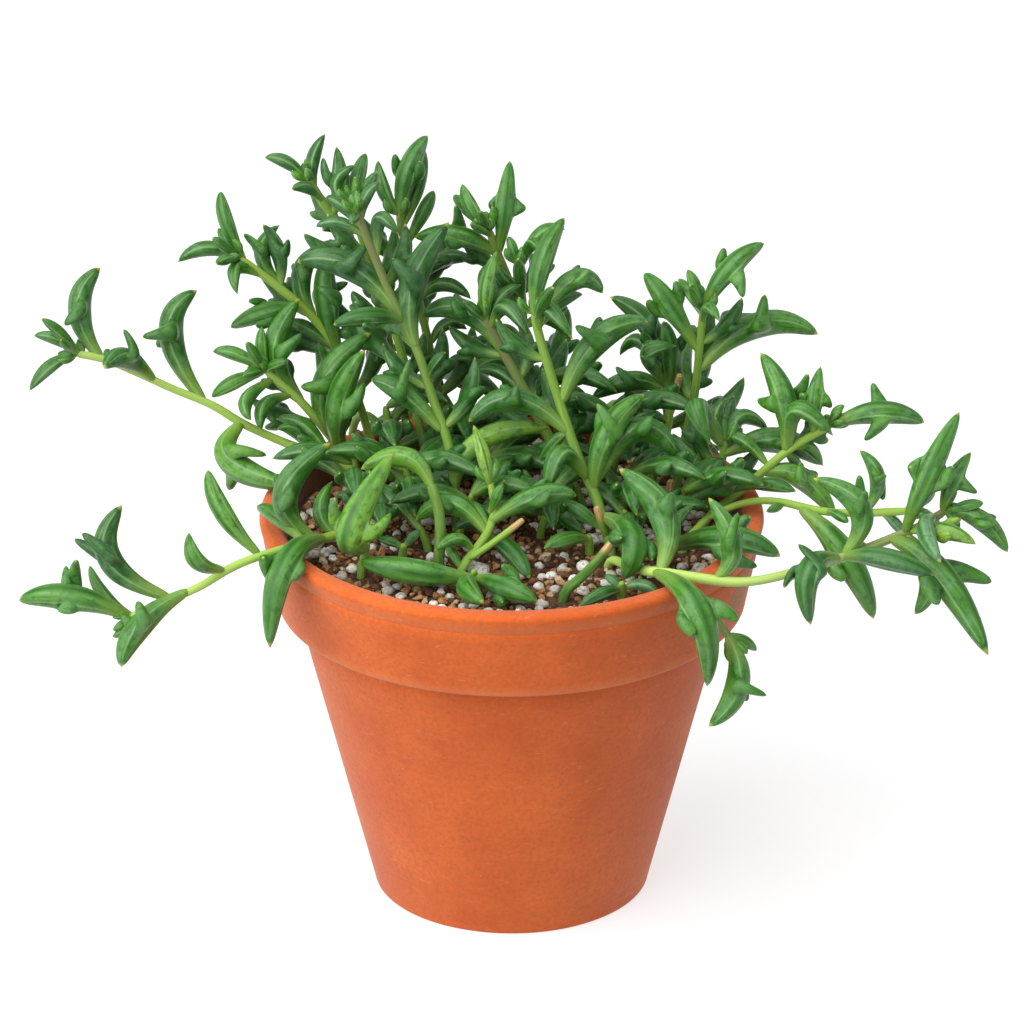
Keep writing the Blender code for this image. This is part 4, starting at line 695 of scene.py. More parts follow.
shoot("shoot_thick_arch",
    [(438, 572), (440, 548, -25), (441, 520, -23), (438, 500, -21), (431, 485, -20)],
    plain((433, 488), (360, 470, -5), (406, 455), 6.6),
    radii=(1.75, 1.5), shade=0.65, ripeness=0.1)
shoot("shoot_front_flat",
    [(474, 584), (474, 571, -35.5)],
    plain((473, 580), (358, 561, 1), (415, 572), 6.8),
    leaf((475, 580), (538, 602, 17), (505, 587), 6.2, (501, 565)),
    plain((474, 578), (484, 603, 22), (466, 588), 6.2),
    shade=0.5)
shoot("shoot_upright_leaf",
    [(360, 574), (364, 558, -25), (368, 543, -24)],
    leaf((367, 545), (396, 450, 6), (350, 530, 11), 7.2, (335, 497), (397, 510)),
    shade=0.8)
shoot("shoot_front_low_right",
    [(622, 596), (622, 583, -43)],
    plain((622, 591), (577, 608, 6), (603, 592), 5.4),
    plain((622, 589), (604, 575, -2), None, 3.6),
    plain((622, 589), (662, 598, 2), (645, 584), 5.0),
    shade=0.2)
shoot("shoot_lying_leaf",
    [(590, 550), (588, 536, -13)],
    plain((588, 540), (543, 549, 12), (566, 538), 5.0),
    shade=0.5)
shoot("shoot_dark_leaf",
    [(486, 546), (486, 532, -11)],
    plain((486, 538), (530, 579, 12), (511, 550), 5.4),
    plain((486, 538), (452, 531, 3), (470, 521), 5.0),
    shade=0.25)
shoot("cut_stub_front",
    [(561, 598), (573, 585, -44), (590, 569, -36), (604, 554, -31), (613, 541, -29)],
    radii=(1.6, 1.35), ripeness=0.0, cut=0)
shoot("cut_stub_right",
    [(668, 516), (670, 500, 8), (671, 479, 8)],
    leaf((670, 500), (640, 516, 5), None, 5.0),
    radii=(1.5, 1.35), ripeness=0.4, cut=0)
shoot("shoot_inside_left",
    [(402, 560), (404, 545, -20)],
    plain((404, 549), (421, 530), None, 4.6),
    plain((404, 549), (377, 539, -3), None, 4.6))

# Short shoots that fill the middle of the pot, as (across, back, height) in mm, and shoots that
# trail over the back rim, as (degrees round the pot, mm that they hang below the rim)
INNER_SHOOTS = ((-25, 11, 13), (-7, 22, 11), (12, 28, 9), (-14, -5, 12), (7, -3, 12),
                (28, 10, 12), (-13, 41, 24), (-1, 48, 26), (12, 40, 24), (-31, 33, 20),
                (25, 27, 22), (-43, 12, 16), (-34, -2, 8), (-21, -11, 6), (31, -3, 8), (41, 4, 10))
INNER_LEAVES = 6
INNER_SWAY, INNER_BEND = 4, 2
INNER_SEED, BACK_SEED = 100, 200
BACK_SHOOTS = ((48, 23), (65, 51), (113, 35), (127, 45))
BACK_ROOT_RADIUS = 47.0
BACK_WALL_GAP = 5.4
BACK_LEAVES = 7
BACK_SWAY = 5
BACK_LEAN = 1.5
# Where a trailing stem crosses the rim, in from its edge and above it, and where it turns down
CROSSING_INSET, CROSSING_RISE = 2.5, 5.8
TURN_DROP = 3

for number, (across, back, height) in enumerate(INNER_SHOOTS):
    draw = random.Random(INNER_SEED + number)
    root = Vector((across, back, SOIL_HEIGHT))
    sway, bend = ([draw.uniform(-most, most) for _ in range(2)] for most in (INNER_SWAY, INNER_BEND))
    top = root + Vector((*sway, height))
    middle = root.lerp(top, 0.5) + Vector((*bend, 0))
    shoots[f"shoot_inner_{number + 1}"] = Shoot(root, [middle, top], draw, INNER_LEAVES)
for number, (angle, length) in enumerate(BACK_SHOOTS):
    draw = random.Random(BACK_SEED + number)
    out = Vector((math.cos(math.radians(angle)), math.sin(math.radians(angle)), 0))
    aside = Vector((-out.y, out.x, 0)) * draw.uniform(-BACK_SWAY, BACK_SWAY)
    on_rim = out * (RIM_RADIUS - CROSSING_INSET) + Vector((0, 0, POT_HEIGHT + CROSSING_RISE))
    past_rim = out * (RIM_RADIUS + BACK_WALL_GAP) + Vector((0, 0, POT_HEIGHT - TURN_DROP))
    end = past_rim + aside - out * BACK_LEAN - Vector((0, 0, length - TURN_DROP))
    shoots[f"shoot_back_{number + 1}"] = Shoot(
        out * BACK_ROOT_RADIUS + Vector((0, 0, SOIL_HEIGHT)),
        [on_rim, past_rim, past_rim.lerp(end, 0.5), end], draw, BACK_LEAVES)

SLIMNESS = (1.5, 0.165)
LEAF_THICKNESS_SHARE = 1.15
# A leaf's places with their share of its width, for the solids that keep leaves apart
LONG_LEAF_RINGS = ((0.0, 0.27), (0.24, 0.7), (0.41, 1.0), (0.62, 0.94), (0.83, 0.6))
MIDDLE_LEAF_RINGS = ((0.0, 0.27), (0.24, 0.72), (0.42, 1.0), (0.68, 0.84))
SHORT_LEAF_RINGS = ((0.0, 0.27), (0.42, 1.0), (0.69, 0.8))
SHORT_LEAF, LONG_LEAF = 26.0, 38.0
BLADE_START = 0.4
FIN_PLACE = 0.52
FIN_REACH = 0.12
FIN_LONGEST = 0.42
FIN_LEAN = 0.8
RULE_FIN_WAY = (0.72, 0.55, 0.35)
FLATTEST_RISE = 0.02


def closed(grid, end):
    """The faces of a tube of rings of corners: flat at its start, and drawn to a point at its end."""
    count = len(grid[0])
    sides = [(k, (k + 1) % count) for k in range(count)]
    faces = [tuple(reversed(grid[0]))]
    for ring, after in zip(grid, grid[1:]):
        faces += [(ring[a], ring[b], after[b], after[a]) for a, b in sides]
    return faces + [(grid[-1][a], grid[-1][b], end) for a, b in sides]


class Leaf:
    """A leaf in space: the curve of its middle, its side, its width, and its fins as (side, tip)."""

    def __init__(self, root, over, tip, wide):
        chord = tip - root
        rise = over - (root + tip) / 2
        rise -= chord * rise.dot(chord) / chord.length_squared
        if rise.length < FLATTEST_RISE * chord.length:
            rise = OUTWARD - chord * OUTWARD.dot(chord) / chord.length_squared
        most = SLIMNESS[0] + SLIMNESS[1] * ((over - root).length + (tip - over).length)
        self.root, self.over, self.tip, self.length = root, over, tip, chord.length
        self.side, self.wide, self.fins = chord.cross(rise).normalized(), min(wide, most), []
        self.handle = 2 * over - (root + tip) / 2

    def point(self, t):
        return self.root * (1 - t) ** 2 + self.handle * (2 * t * (1 - t)) + self.tip * t ** 2

    def frame(self, t):
        """(heading, upper side) of the leaf's middle at t."""
        heading = ((self.handle - self.root) * (1 - t) + (self.tip - self.handle) * t).normalized()
        return heading, self.side.cross(heading).normalized()

    def give_fins(self, drawn_tips=()):
        """Sets the two fins: those that the drawing shows, and the rest by rule, out to the side,
        onward and a little up."""
        fins = {}
        middle, (heading, upper) = self.point(FIN_PLACE), self.frame(FIN_PLACE)
        reach = self.wide / 2 + FIN_REACH * self.length
        lean = abs(self.side.dot(OUTWARD)) * reach * FIN_LEAN
        for number, (right, down) in enumerate(drawn_tips):
            place = spot_at_depth(right, down, depth_of(middle) + (-lean if number else lean))
            away = place - middle
            if away.length > FIN_LONGEST * self.length:
                place = middle + away * (FIN_LONGEST * self.length / away.length)
            sign = 1 if away.dot(self.side) > 0 else -1
            fins[-sign if sign in fins else sign] = place
        aside, onward, up = RULE_FIN_WAY
        for sign in {1, -1} - set(fins):
            way = self.side * (aside * sign) + heading * onward + upper * up
            fins[sign] = middle + way.normalized() * reach
        self.fins = sorted(fins.items())
        return self

    def swung(self, swing, shrink):
        """The leaf swung toward the eye by some millimetres at its tip, and shortened."""
        def moved(point, share):
            return self.root + (point - self.root) * shrink + OUTWARD * (swing * share)

        made = Leaf(self.root, moved(self.over, 0.5), moved(self.tip, 1.0),
                    self.wide * shrink ** 0.5)
        if made.side.dot(self.side) < 0:
            made.side = -made.side
        made.fins = [(sign, moved(fin, 0.5)) for sign, fin in self.fins]
        return made

    def solid(self, grow, start=0.0):
        """The leaf's part past start as a four-sided solid, its fins pulled out of its edges and
        all of it swelled by grow."""
        rings = MIDDLE_LEAF_RINGS if self.length < LONG_LEAF else LONG_LEAF_RINGS
        rings = SHORT_LEAF_RINGS if self.length < SHORT_LEAF else rings
        rings = [ring for ring in rings if ring[0] >= start]
        points = []
        for place, share in rings:
            middle, upper = self.point(place), self.frame(place)[1]
            half = self.wide / 2 * share
            aside, above = self.side * (half + grow), upper * (half * LEAF_THICKNESS_SHARE + grow)
            points += [middle - aside, middle + above, middle + aside, middle - above]
        points.append(self.tip + self.frame(1.0)[0] * grow)
        grid = [range(i * 4, i * 4 + 4) for i in range(len(rings))]
        faces = closed(grid, len(points) - 1)
        fin_ring = next(i for i, ring in enumerate(rings) if ring[0] >= BLADE_START)
        for sign, fin in self.fins:
            edge = {grid[fin_ring][1 + sign], grid[fin_ring + 1][1 + sign]}
            beside = [face for face in faces if edge <= set(face)]
            faces = [face for face in faces if face not in beside]
            faces += [(a, b, len(points)) for face in beside
                      for a, b in zip(face, face[1:] + face[:1]) if {a, b} != edge]
            points.append(fin + (fin - self.point(FIN_PLACE)).normalized() * grow)
        return BVHTree.FromPolygons(points, faces)


LEAF_WIDTH = 5.6
LEAF_FULLNESS = 1.05
LEAF_BOW = 0.17
SHALLOWEST_BOW = 0.05
UNDRAWN_BOW = 0.1
FINLESS_LEAF = 16.5
LEAF_TURN = math.radians(137.5)
TIPWARD_SHORTENING = 0.3
FILLED_PART, GROWN_PART = (0.28, 0.8), (0.3, 1.0)
FILLING_LENGTHS, GROWN_LENGTHS, TRAILING_LENGTHS = (20.0, 25.0), (20.0, 27.0), (18.0, 23.0)
FILLING_TURNS = (-1.1, 0.9, 0.1)
FILLING_WAY = (0.62, 0.75)
FILLING_BOW = (0.8, -0.55)
TRAILING_WAY = (0.85, 0.12, 0.5)
TRAILING_BOW = (0.4, -0.6)
MOST_BACKWARD = 0.06
LEAF_FLARE = 0.3


def drawn_leaf(plan, stems):
    """A leaf of the drawing in space, rooted on the nearest point of its stems."""
    wanted = Vector(plan["root"])
    root = min((point for stem in stems for point in stem),
               key=lambda point: (drawn(point) - wanted).length)
    right, down, nearer = (*plan["tip"], 0.0)[:3]
    tip = spot_at_depth(right, down, depth_of(root) + nearer)
    length = (tip - root).length
    if plan["over"] is None:
        mouth = stems[0][-1] - stems[0][-2]
        flat = mouth - OUTWARD * mouth.dot(OUTWARD)
        bow = UNDRAWN_BOW * length
        over = (root + tip) / 2 + flat.normalized() * bow + OUTWARD * bow
    else:
        right, down, *bows = plan["over"]
        depth = depth_of(root) + nearer / 2
        rise = (spot_at_depth(right, down, depth) - (root + tip) / 2).length
        bow = bows[0] if bows else math.sqrt(max((LEAF_BOW * length) ** 2 - rise ** 2,
                                                 (SHALLOWEST_BOW * length) ** 2))
        over = spot_at_depth(right, down, depth + bow)
    made = Leaf(root, over, tip, plan["wide"] * LEAF_FULLNESS)
    if plan["fins"] is not None and length > FINLESS_LEAF:
        made.give_fins(plan["fins"])
    return made


def leaf_by_rule(stem, place, number, draw, between_drawn):
    """A leaf by rule, at a place along its stem. Between drawn leaves it leaves the stem outward, to
    the next side each time, and curls up along it. On other stems it arches back along the stem's
    way and keeps low: inside the pot it leans level, and behind the pot it stays beside the wall."""
    at = place * (len(stem) - 1)
    first = min(int(at), len(stem) - 2)
    root = stem[first].lerp(stem[first + 1], at - first)
    way = (stem[first + 1] - stem[first]).normalized()
    away = Vector((root.x, root.y, 0))
    shortening = 1 - TIPWARD_SHORTENING * place
    if between_drawn:
        back = (-OUTWARD + way * OUTWARD.dot(way)).normalized()
        turn = draw.uniform(-LEAF_FLARE, LEAF_FLARE) + FILLING_TURNS[number % 3]
        out = back * math.cos(turn) + way.cross(back) * math.sin(turn)
        length = draw.uniform(*FILLING_LENGTHS) * shortening
        heading = out * FILLING_WAY[0] + way * FILLING_WAY[1]
        lift = (out * FILLING_BOW[0] + way * FILLING_BOW[1]).normalized()
    elif away.length > RIM_RADIUS - 4:
        away.normalize()
        side = Vector((-away.y, away.x, 0)) * (1 if number % 2 else -1)
        aside, outward, down = TRAILING_WAY
        heading = side * aside + away * draw.uniform(0.0, outward) - Vector((0, 0, down))
        heading.y = min(heading.y, MOST_BACKWARD)
        length = draw.uniform(*TRAILING_LENGTHS) * shortening
        lift = away * TRAILING_BOW[0] + way * TRAILING_BOW[1]
    else:
        turn = number * LEAF_TURN
        heading = Vector((math.cos(turn), math.sin(turn), draw.uniform(0.0, 0.35)))
        length = draw.uniform(*GROWN_LENGTHS)
        lift = Vector((0, 0, 1))
    tip = root + heading.normalized() * length
    over = (root + tip) / 2 + lift * (LEAF_BOW * length)
    return Leaf(root, over, tip, LEAF_WIDTH).give_fins()


def directions(route):
    last = len(route) - 1
    return [(route[min(i + 1, last)] - route[max(i - 1, 0)]).normalized() for i in range(last + 1)]


def tube(route, radii, sides, swell=lambda centre: 1.0):
    """Rings of points round a route, the radius running from the first to the second."""
    rings, heading = [], directions(route)
    side = heading[0].orthogonal().normalized()
    for i, centre in enumerate(route):
        side = (side - heading[i] * side.dot(heading[i])).normalized()
        other = heading[i].cross(side)
        radius = (radii[0] + (radii[1] - radii[0]) * i / (len(route) - 1)) * swell(centre)
        rings.append([centre + (side * math.cos(turn) + other * math.sin(turn)) * radius
                      for turn in turns(sides)])
    return rings


STEM_SIDES = 5
STEM_RING_SPACING = 14.0
STEM_ROUNDING = 0.5
LEAF_GAP = 0.35
SWINGS = (0, 3, -3, 6, -6, 9, -9, 12, -12, 16)
RULE_SWINGS = (0, 3, -3, 5)
SHRINKS = (1.0, 0.86, 0.72)


def stem_solid(route, radii):
    """A stem as a closed solid."""
    rings = tube(route, radii, STEM_SIDES)
    points = [point for ring in rings for point in ring]
    grid = [range(n, n + STEM_SIDES) for n in range(0, len(points), STEM_SIDES)]
    points.append(route[-1] + directions(route)[-1] * radii[1] * STEM_ROUNDING)
    return BVHTree.FromPolygons(points, closed(grid, len(points) - 1))


def marked_off(route):
    """Points about a millimetre apart along the straight pieces of a route."""
    points = []
    for a, b in zip(route, route[1:]):
        count = max(1, round((b - a).length))
        points += [a.lerp(b, i / count) for i in range(count)]
    return points + [route[-1]]


def fit_leaf(name, wanted, swings, placed):
    """The leaf at the first length and swing that clear all that is placed, or None. On its own
    shoot only its blade has to be clear."""
    for shrink in SHRINKS:
        for swing in swings:
            trial = wanted.swung(swing, shrink)
            whole, blade = trial.solid(LEAF_GAP), trial.solid(LEAF_GAP, BLADE_START)
            if not any((blade if owner == name else whole).overlap(solid)
                       for owner, solid in placed):
                return trial
    return None


def fit_leaves():
    """Fits every leaf clear of the pot, the mix, the stems and the leaves before it, and gives each
    with its shade and whether it was drawn."""
    placed = []
    for name in ("pot", "soil"):
        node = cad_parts[name].data
        placed.append((name, BVHTree.FromPolygons([vertex.co / MM for vertex in node.vertices],
                                                  [face.vertices[:] for face in node.polygons])))
    stems = {name: laid.routes(STEM_RING_SPACING) for name, laid in shoots.items()}
    for name, laid in shoots.items():
        placed += [(name, stem_solid(*stem)) for stem in zip(stems[name], laid.radii)]
    fitted = {name: [] for name in shoots}
    for name, laid in shoots.items():
        main, *branches = stems[name]
        fine = [marked_off(stem) for stem in (main[1:], *branches)]
        trials = [(drawn_leaf(plan, fine), SWINGS,
                   laid.shade if plan["shade"] is None else plan["shade"], True)
                  for plan in laid.leaves]
        low, high = FILLED_PART if laid.leaves else GROWN_PART
        for number in range(laid.filling):
            place = low + (high - low) * number / (laid.filling - 1)
            trials.append((leaf_by_rule(fine[0], place, number, laid.draw, bool(laid.leaves)),
                           RULE_SWINGS, DARKENED_INSIDE_SHADE, False))
        for wanted, swings, shade, by_hand in trials:
            clear = fit_leaf(name, wanted, swings, placed)
            if clear:
                placed.append((name, clear.solid(0.0)))
                fitted[name].append((clear, shade, by_hand))
    return fitted


# How a leaf's skin is drawn: places along it with their share of its width, and columns round it as
# (angle in degrees from its side, share of its radius, share of the pale margin). The back is
# flattened, with a furrow at 90, and meets the round belly in a crisp margin. A leaf made by rule
# and a bud get fewer rings and columns.
FULL_RINGS = ((0.0, 0.34), (0.12, 0.5), (0.25, 0.74), (0.4, 0.98), (0.62, 1.0), (0.79, 0.78),
              (0.93, 0.46))
SMALL_RINGS = ((0.0, 0.36), (0.2, 0.64), (0.4, 0.98), (0.63, 0.98), (0.87, 0.56))
FULL_COLUMNS = ((8, 1.03, 1.0), (48, 0.99, 0.0), (90, 0.84, 0.0), (132, 0.99, 0.0),
                (172, 1.03, 1.0), (207, 1.03, 0.0), (250, 1.07, 0.0), (290, 1.07, 0.0),
                (333, 1.03, 0.0))
SMALL_COLUMNS = ((8, 1.08, 1.0), (90, 0.92, 0.0), (172, 1.08, 1.0), (210, 1.08, 0.0),
                 (270, 1.12, 0.0), (330, 1.08, 0.0))
DETAIL_LENGTH = 19.0
FIN_START = 0.4
# A fin's places with its length along the leaf and its thickness, as shares of those of its root
FIN_STEPS = ((0.22, 0.98, 1.9), (0.6, 0.6, 1.7), (0.92, 0.34, 1.15))
FIN_HANDLE = (0.8, -0.1)
FIN_BODY = 0.95
TIP_SHARPNESS, FIN_SHARPNESS = 0.85, 0.42
CAGE_SWELL = 1.06
SKIN_MARKS = ("along", "side", "back", "margin", "fin", "tone", "dry", "blush", "crease_vert")
STEM, LEAF = 0, 1


class Skin:
    """A shoot's outer surface as it is built up: its points with what the materials read there, and
    its faces with their materials."""

    def __init__(self):
        self.points, self.marks, self.faces, self.kinds = [], [], [], []

    def point(self, place, **marks):
        self.points.append(place)
        self.marks.append(marks)
        return len(self.points) - 1

    def cover(self, faces, kind):
        self.faces += faces
        self.kinds += [kind] * len(faces)


def skin_leaf(skin, leaf, tone, fine=True):
    """Adds a leaf: rings swept along its curve, closed at both ends, with its fins drawn out."""
    fine = fine and leaf.length > DETAIL_LENGTH
    rings, columns = (FULL_RINGS, FULL_COLUMNS) if fine else (SMALL_RINGS, SMALL_COLUMNS)
    grid = []
    for place, share in rings:
        middle, upper = leaf.point(place), leaf.frame(place)[1]
        half = leaf.wide / 2 * share * CAGE_SWELL
        grid.append([])
        for angle, reach, margin in columns:
            side, back = math.cos(math.radians(angle)), math.sin(math.radians(angle))
            out = (leaf.side * side + upper * (back * LEAF_THICKNESS_SHARE)) * (half * reach)
            grid[-1].append(skin.point(middle + out, along=place, side=side, back=back,
                                       margin=margin, tone=tone))
    faces = closed(grid, skin.point(leaf.tip, along=1.0, tone=tone, crease_vert=TIP_SHARPNESS))
    fin_ring = next(i for i, ring in enumerate(rings) if ring[0] >= FIN_START)
    margins = {-1: max(k for k, column in enumerate(columns) if column[2]), 1: len(columns) - 1}
    roots = {sign: faces[1 + fin_ring * len(columns) + margins[sign]] for sign, tip in leaf.fins}
    skin.cover([face for face in faces if face not in roots.values()], LEAF)
    for sign, tip in leaf.fins:
        skin_fin(skin, leaf, roots[sign], sign, tip, tone)


def skin_fin(skin, leaf, root, sign, tip, tone):
    """Draws a side tooth out of one face of a leaf: a blunt horn that bends to its tip."""
    base = [skin.points[corner] for corner in root]
    start, along = sum(base, Vector()) / 4, skin.marks[root[0]]["along"]
    heading, out = leaf.frame(FIN_PLACE)[0], leaf.side * sign
    handle = start + (out * FIN_HANDLE[0] + heading * FIN_HANDLE[1]) * ((tip - start).length / 2)
    grid = [root]
    for share, long, thick in FIN_STEPS:
        centre = start * (1 - share) ** 2 + handle * (2 * share * (1 - share)) + tip * share ** 2
        way = (handle - start) * (1 - share) + (tip - handle) * share
        turn = out.rotation_difference(way.normalized())
        grid.append([])
        for corner, place in zip(root, base):
            lengthwise = heading * (place - start).dot(heading)
            offset = lengthwise * long + (place - start - lengthwise) * thick
            side, back = skin.marks[corner]["side"], skin.marks[corner]["back"]
            grid[-1].append(skin.point(centre + turn @ offset, along=along, side=side, back=back,
                                       fin=share * FIN_BODY, tone=tone))
    end = skin.point(tip, along=along, fin=1.0, tone=tone, crease_vert=FIN_SHARPNESS)
    skin.cover(closed(grid, end)[1:], LEAF)


STEM_COLUMNS = 6
STEM_STEP = 7.0
NODE_SWELL = 0.16
NODE_LENGTH = 2.4
NO_NODE_NEAR = 99.0
CUT_LENGTH = 4.0
CUT_HOLLOW, TIP_ROUNDING = -0.3, 0.55


def skin_stem(skin, route, radii, leaf_roots, cut, start, **looks):
    """Adds a stem: a tube that swells where a leaf leaves it and ends rounded, or hollow at a cut."""
    def swell(centre):
        nearest = min(((root - centre).length for root in leaf_roots), default=NO_NODE_NEAR)
        return (1 + NODE_SWELL * math.exp(-(nearest / NODE_LENGTH) ** 2)) * CAGE_SWELL

    grid = []
    for i, ring in enumerate(tube(route, radii, STEM_COLUMNS, swell)):
        along = start + (1 - start) * i / (len(route) - 1)
        dry = max(0.0, 1 - (route[-1] - route[i]).length / CUT_LENGTH) if cut else 0.0
        grid.append([skin.point(place, along=along, side=math.cos(turn), back=math.sin(turn),
                                dry=dry, **looks)
                     for place, turn in zip(ring, turns(STEM_COLUMNS))])
    end = route[-1] + directions(route)[-1] * (radii[1] * (CUT_HOLLOW if cut else TIP_ROUNDING))
    skin.cover(closed(grid, skin.point(end, along=1.0, dry=float(cut), **looks)), STEM)


# Streaks a fifth of a leaf's width wide and some 7 mm long
STREAK_DRIFT = 45.0
STREAK_SCALE = 2.6
STREAK_STRETCH = 0.4


def streaks_along(add, place, along, side, back, roughness):
    """A pattern that runs round and along a leaf or stem, drawn out along it."""
    slow = add("Math", {0: along, 1: STREAK_STRETCH}, operation="MULTIPLY")
    around = add("CombineXYZ", {"X": side, "Y": back, "Z": slow})
    drawn_out = add("VectorMath", {0: place, 1: (STREAK_DRIFT,) * 3, 2: around},
                    operation="MULTIPLY_ADD")
    return add("TexNoise", {"Vector": drawn_out, "Scale": STREAK_SCALE, "Detail": 4.0,
                            "Roughness": roughness})


def leaf_skin():
    """A living leaf: firm, watery flesh under a thin waxy skin. The flesh shows as streaks along the
    leaf and as a deep green window in the furrow between two pale bands, partly the leaf's own
    raised rims and partly a painted highlight on its back, the wax greys it in patches over dark
    freckles, the margins are thin pale lines, the stalk is paler and every tip ends in a yellow
    point."""
    made, add, place = new_material("living_leaf_waxy_skin")
    along, side, back, margin, fin, tone = (
        add("Attribute", {}, output="Fac", attribute_name=name)
        for name in ("along", "side", "back", "margin", "fin", "tone"))
    # The dark blue-green stop at 0.22 is darker than the leaves' own colour: painted shade for leaves
    # deep in the plant
    flesh = add("ValToRGB", {"Fac": tone},
                ramp=((0.0, "#63936A"), (1.0, "#99C03C"), (0.22, "#205819"), (0.5, "#41801D"),
                      (0.75, "#69A329")))
    streaks = streaks_along(add, place, along, side, back, 0.62)
    wax = add("TexNoise", {"Vector": place, "Scale": per_mm(6.0), "Detail": 4.0, "Roughness": 0.6})
    freckles = add("TexNoise", {"Vector": place, "Scale": per_mm(1.9), "Detail": 3.0,
                                "Roughness": 0.6})
    blade = add("ValToRGB", {"Fac": along},
                ramp=((0.12, "#000000"), (0.97, "#000000"), (0.3, "#E8E8E8"), (0.88, "#D0D0D0")))
    # Pale bands either side of the furrow: partly raised rims, partly a painted highlight
    pale_ridge_and_highlight_ramp = add("ValToRGB", {"Fac": back},
                ramp=((0.7, "#000000"), (0.9, "#000000"), (0.81, "#8C8C8C")))
    furrow = add("MapRange", {"Value": back, "From Min": 0.84, "From Max": 0.91})
    pale_ridges_and_highlight, window = (add("Math", {0: share, 1: blade}, operation="MULTIPLY")
                      for share in (pale_ridge_and_highlight_ramp, furrow))
    below = add("ValToRGB", {"Fac": back}, ramp=((0.88, "#44851C"), (0.99, "#1C5410")))
    tips = add("Math", {0: along, 1: fin}, operation="MAXIMUM")
    colour = stained(add, flesh, ("#86B262", streaks, 0.5, 0.75, 0.5),
                     ("#184E0C", streaks, 0.48, 0.3, 0.8), ("#6C9B6C", wax, 0.45, 0.7, 0.42),
                     ("#1A4A12", freckles, 0.49, 0.36, 0.55), ("#7DB068", pale_ridges_and_highlight),
                     (below, window), ("#8FB14B", along, 0.3, 0.03, 0.8),
                     ("#98C07C", margin, 0.8, 0.95, 0.4), ("#CFCC50", tips, 0.96, 0.995, 1.0))
    gloss = add("MapRange", {"Value": wax, "From Min": 0.35, "From Max": 0.7, "To Min": 0.3,
                             "To Max": 0.5})
    ribs = add("Bump", {"Height": streaks, "Strength": 0.5, "Distance": 0.35 * MM})
    return finished(made, {
        "Base Color": colour, "Roughness": gloss, "Normal": ribs, "IOR": 1.42,
        "Specular IOR Level": 0.55, "Sheen Weight": 0.08, "Sheen Roughness": 0.35,
        "Sheen Tint": paint("#DDEBD2"), "Subsurface Weight": 0.08,
        "Subsurface Radius": (0.5, 1.0, 0.2), "Subsurface Scale": 1.2 * MM})


def stem_skin():
    """A young succulent stem: smooth and juicy, green in the shade and yellow-green in the light,
    blushed brown near some tips, and dried to corky tan where it was cut."""
    made, add, place = new_material("living_stem_smooth_skin")
    along, side, back, blush, dry, tone = (
        add("Attribute", {}, output="Fac", attribute_name=name)
        for name in ("along", "side", "back", "blush", "dry", "tone"))
    ripeness = add("Math", {0: along, 1: 0.22, 2: tone}, operation="MULTIPLY_ADD")
    flesh = add("ValToRGB", {"Fac": ripeness},
                ramp=((0.08, "#46782A"), (1.0, "#BBDC6E"), (0.45, "#7AA43A"), (0.75, "#A0C84A")))
    mottle = streaks_along(add, place, along, side, back, 0.6)
    upper = add("MapRange", {"Value": along, "From Min": 0.35, "From Max": 0.9})
    flush = add("Math", {0: upper, 1: blush}, operation="MULTIPLY")
    patchy = add("MapRange", {"Value": mottle, "From Min": 0.3, "From Max": 0.65, "To Min": 0.45})
    blushed = add("Math", {0: flush, 1: patchy}, operation="MULTIPLY")
    cork = add("ValToRGB", {"Fac": mottle}, ramp=((0.35, "#A67C45"), (0.65, "#D9BE86")))
    colour = stained(add, flesh, ("#BED67E", mottle, 0.45, 0.72, 0.3), ("#786A57", blushed),
                     (cork, dry, 0.15, 0.45, 1.0))
    bumpy = add("Bump", {"Height": mottle, "Strength": 0.25, "Distance": 0.15 * MM})
    return finished(made, {
        "Base Color": colour, "Normal": bumpy, "Roughness": 0.5, "IOR": 1.42,
        "Specular IOR Level": 0.35, "Subsurface Weight": 0.1,
        "Subsurface Radius": (0.7, 1.0, 0.3), "Subsurface Scale": 1.2 * MM})


BUD_LEAVES = 4
BUD_LENGTHS = (4.5, 7.0)
BUD_WIDTH = 2.6
BUD_WAY = (0.9, 0.45)
BUD_BOW = 0.2
BUD_SHADE = 0.6
FEW_LEAVES = 4
BRANCH_START = 0.5
SHADE_SPREAD = 0.07
SKIN_LEVELS = 2


def bud_leaves(route, draw):
    """The youngest leaves, folded round a growing tip."""
    end, way = route[-1], (route[-1] - route[-2]).normalized()
    aside = way.orthogonal().normalized()
    buds = []
    for number in range(BUD_LEAVES):
        turn = number * LEAF_TURN + draw.uniform(-LEAF_FLARE, LEAF_FLARE)
        out = aside * math.cos(turn) + way.cross(aside) * math.sin(turn)
        length = draw.uniform(*BUD_LENGTHS)
        tip = end + (way * BUD_WAY[0] + out * BUD_WAY[1]).normalized() * length
        buds.append(Leaf(end, (end + tip) / 2 + out * (BUD_BOW * length), tip, BUD_WIDTH))
    return buds


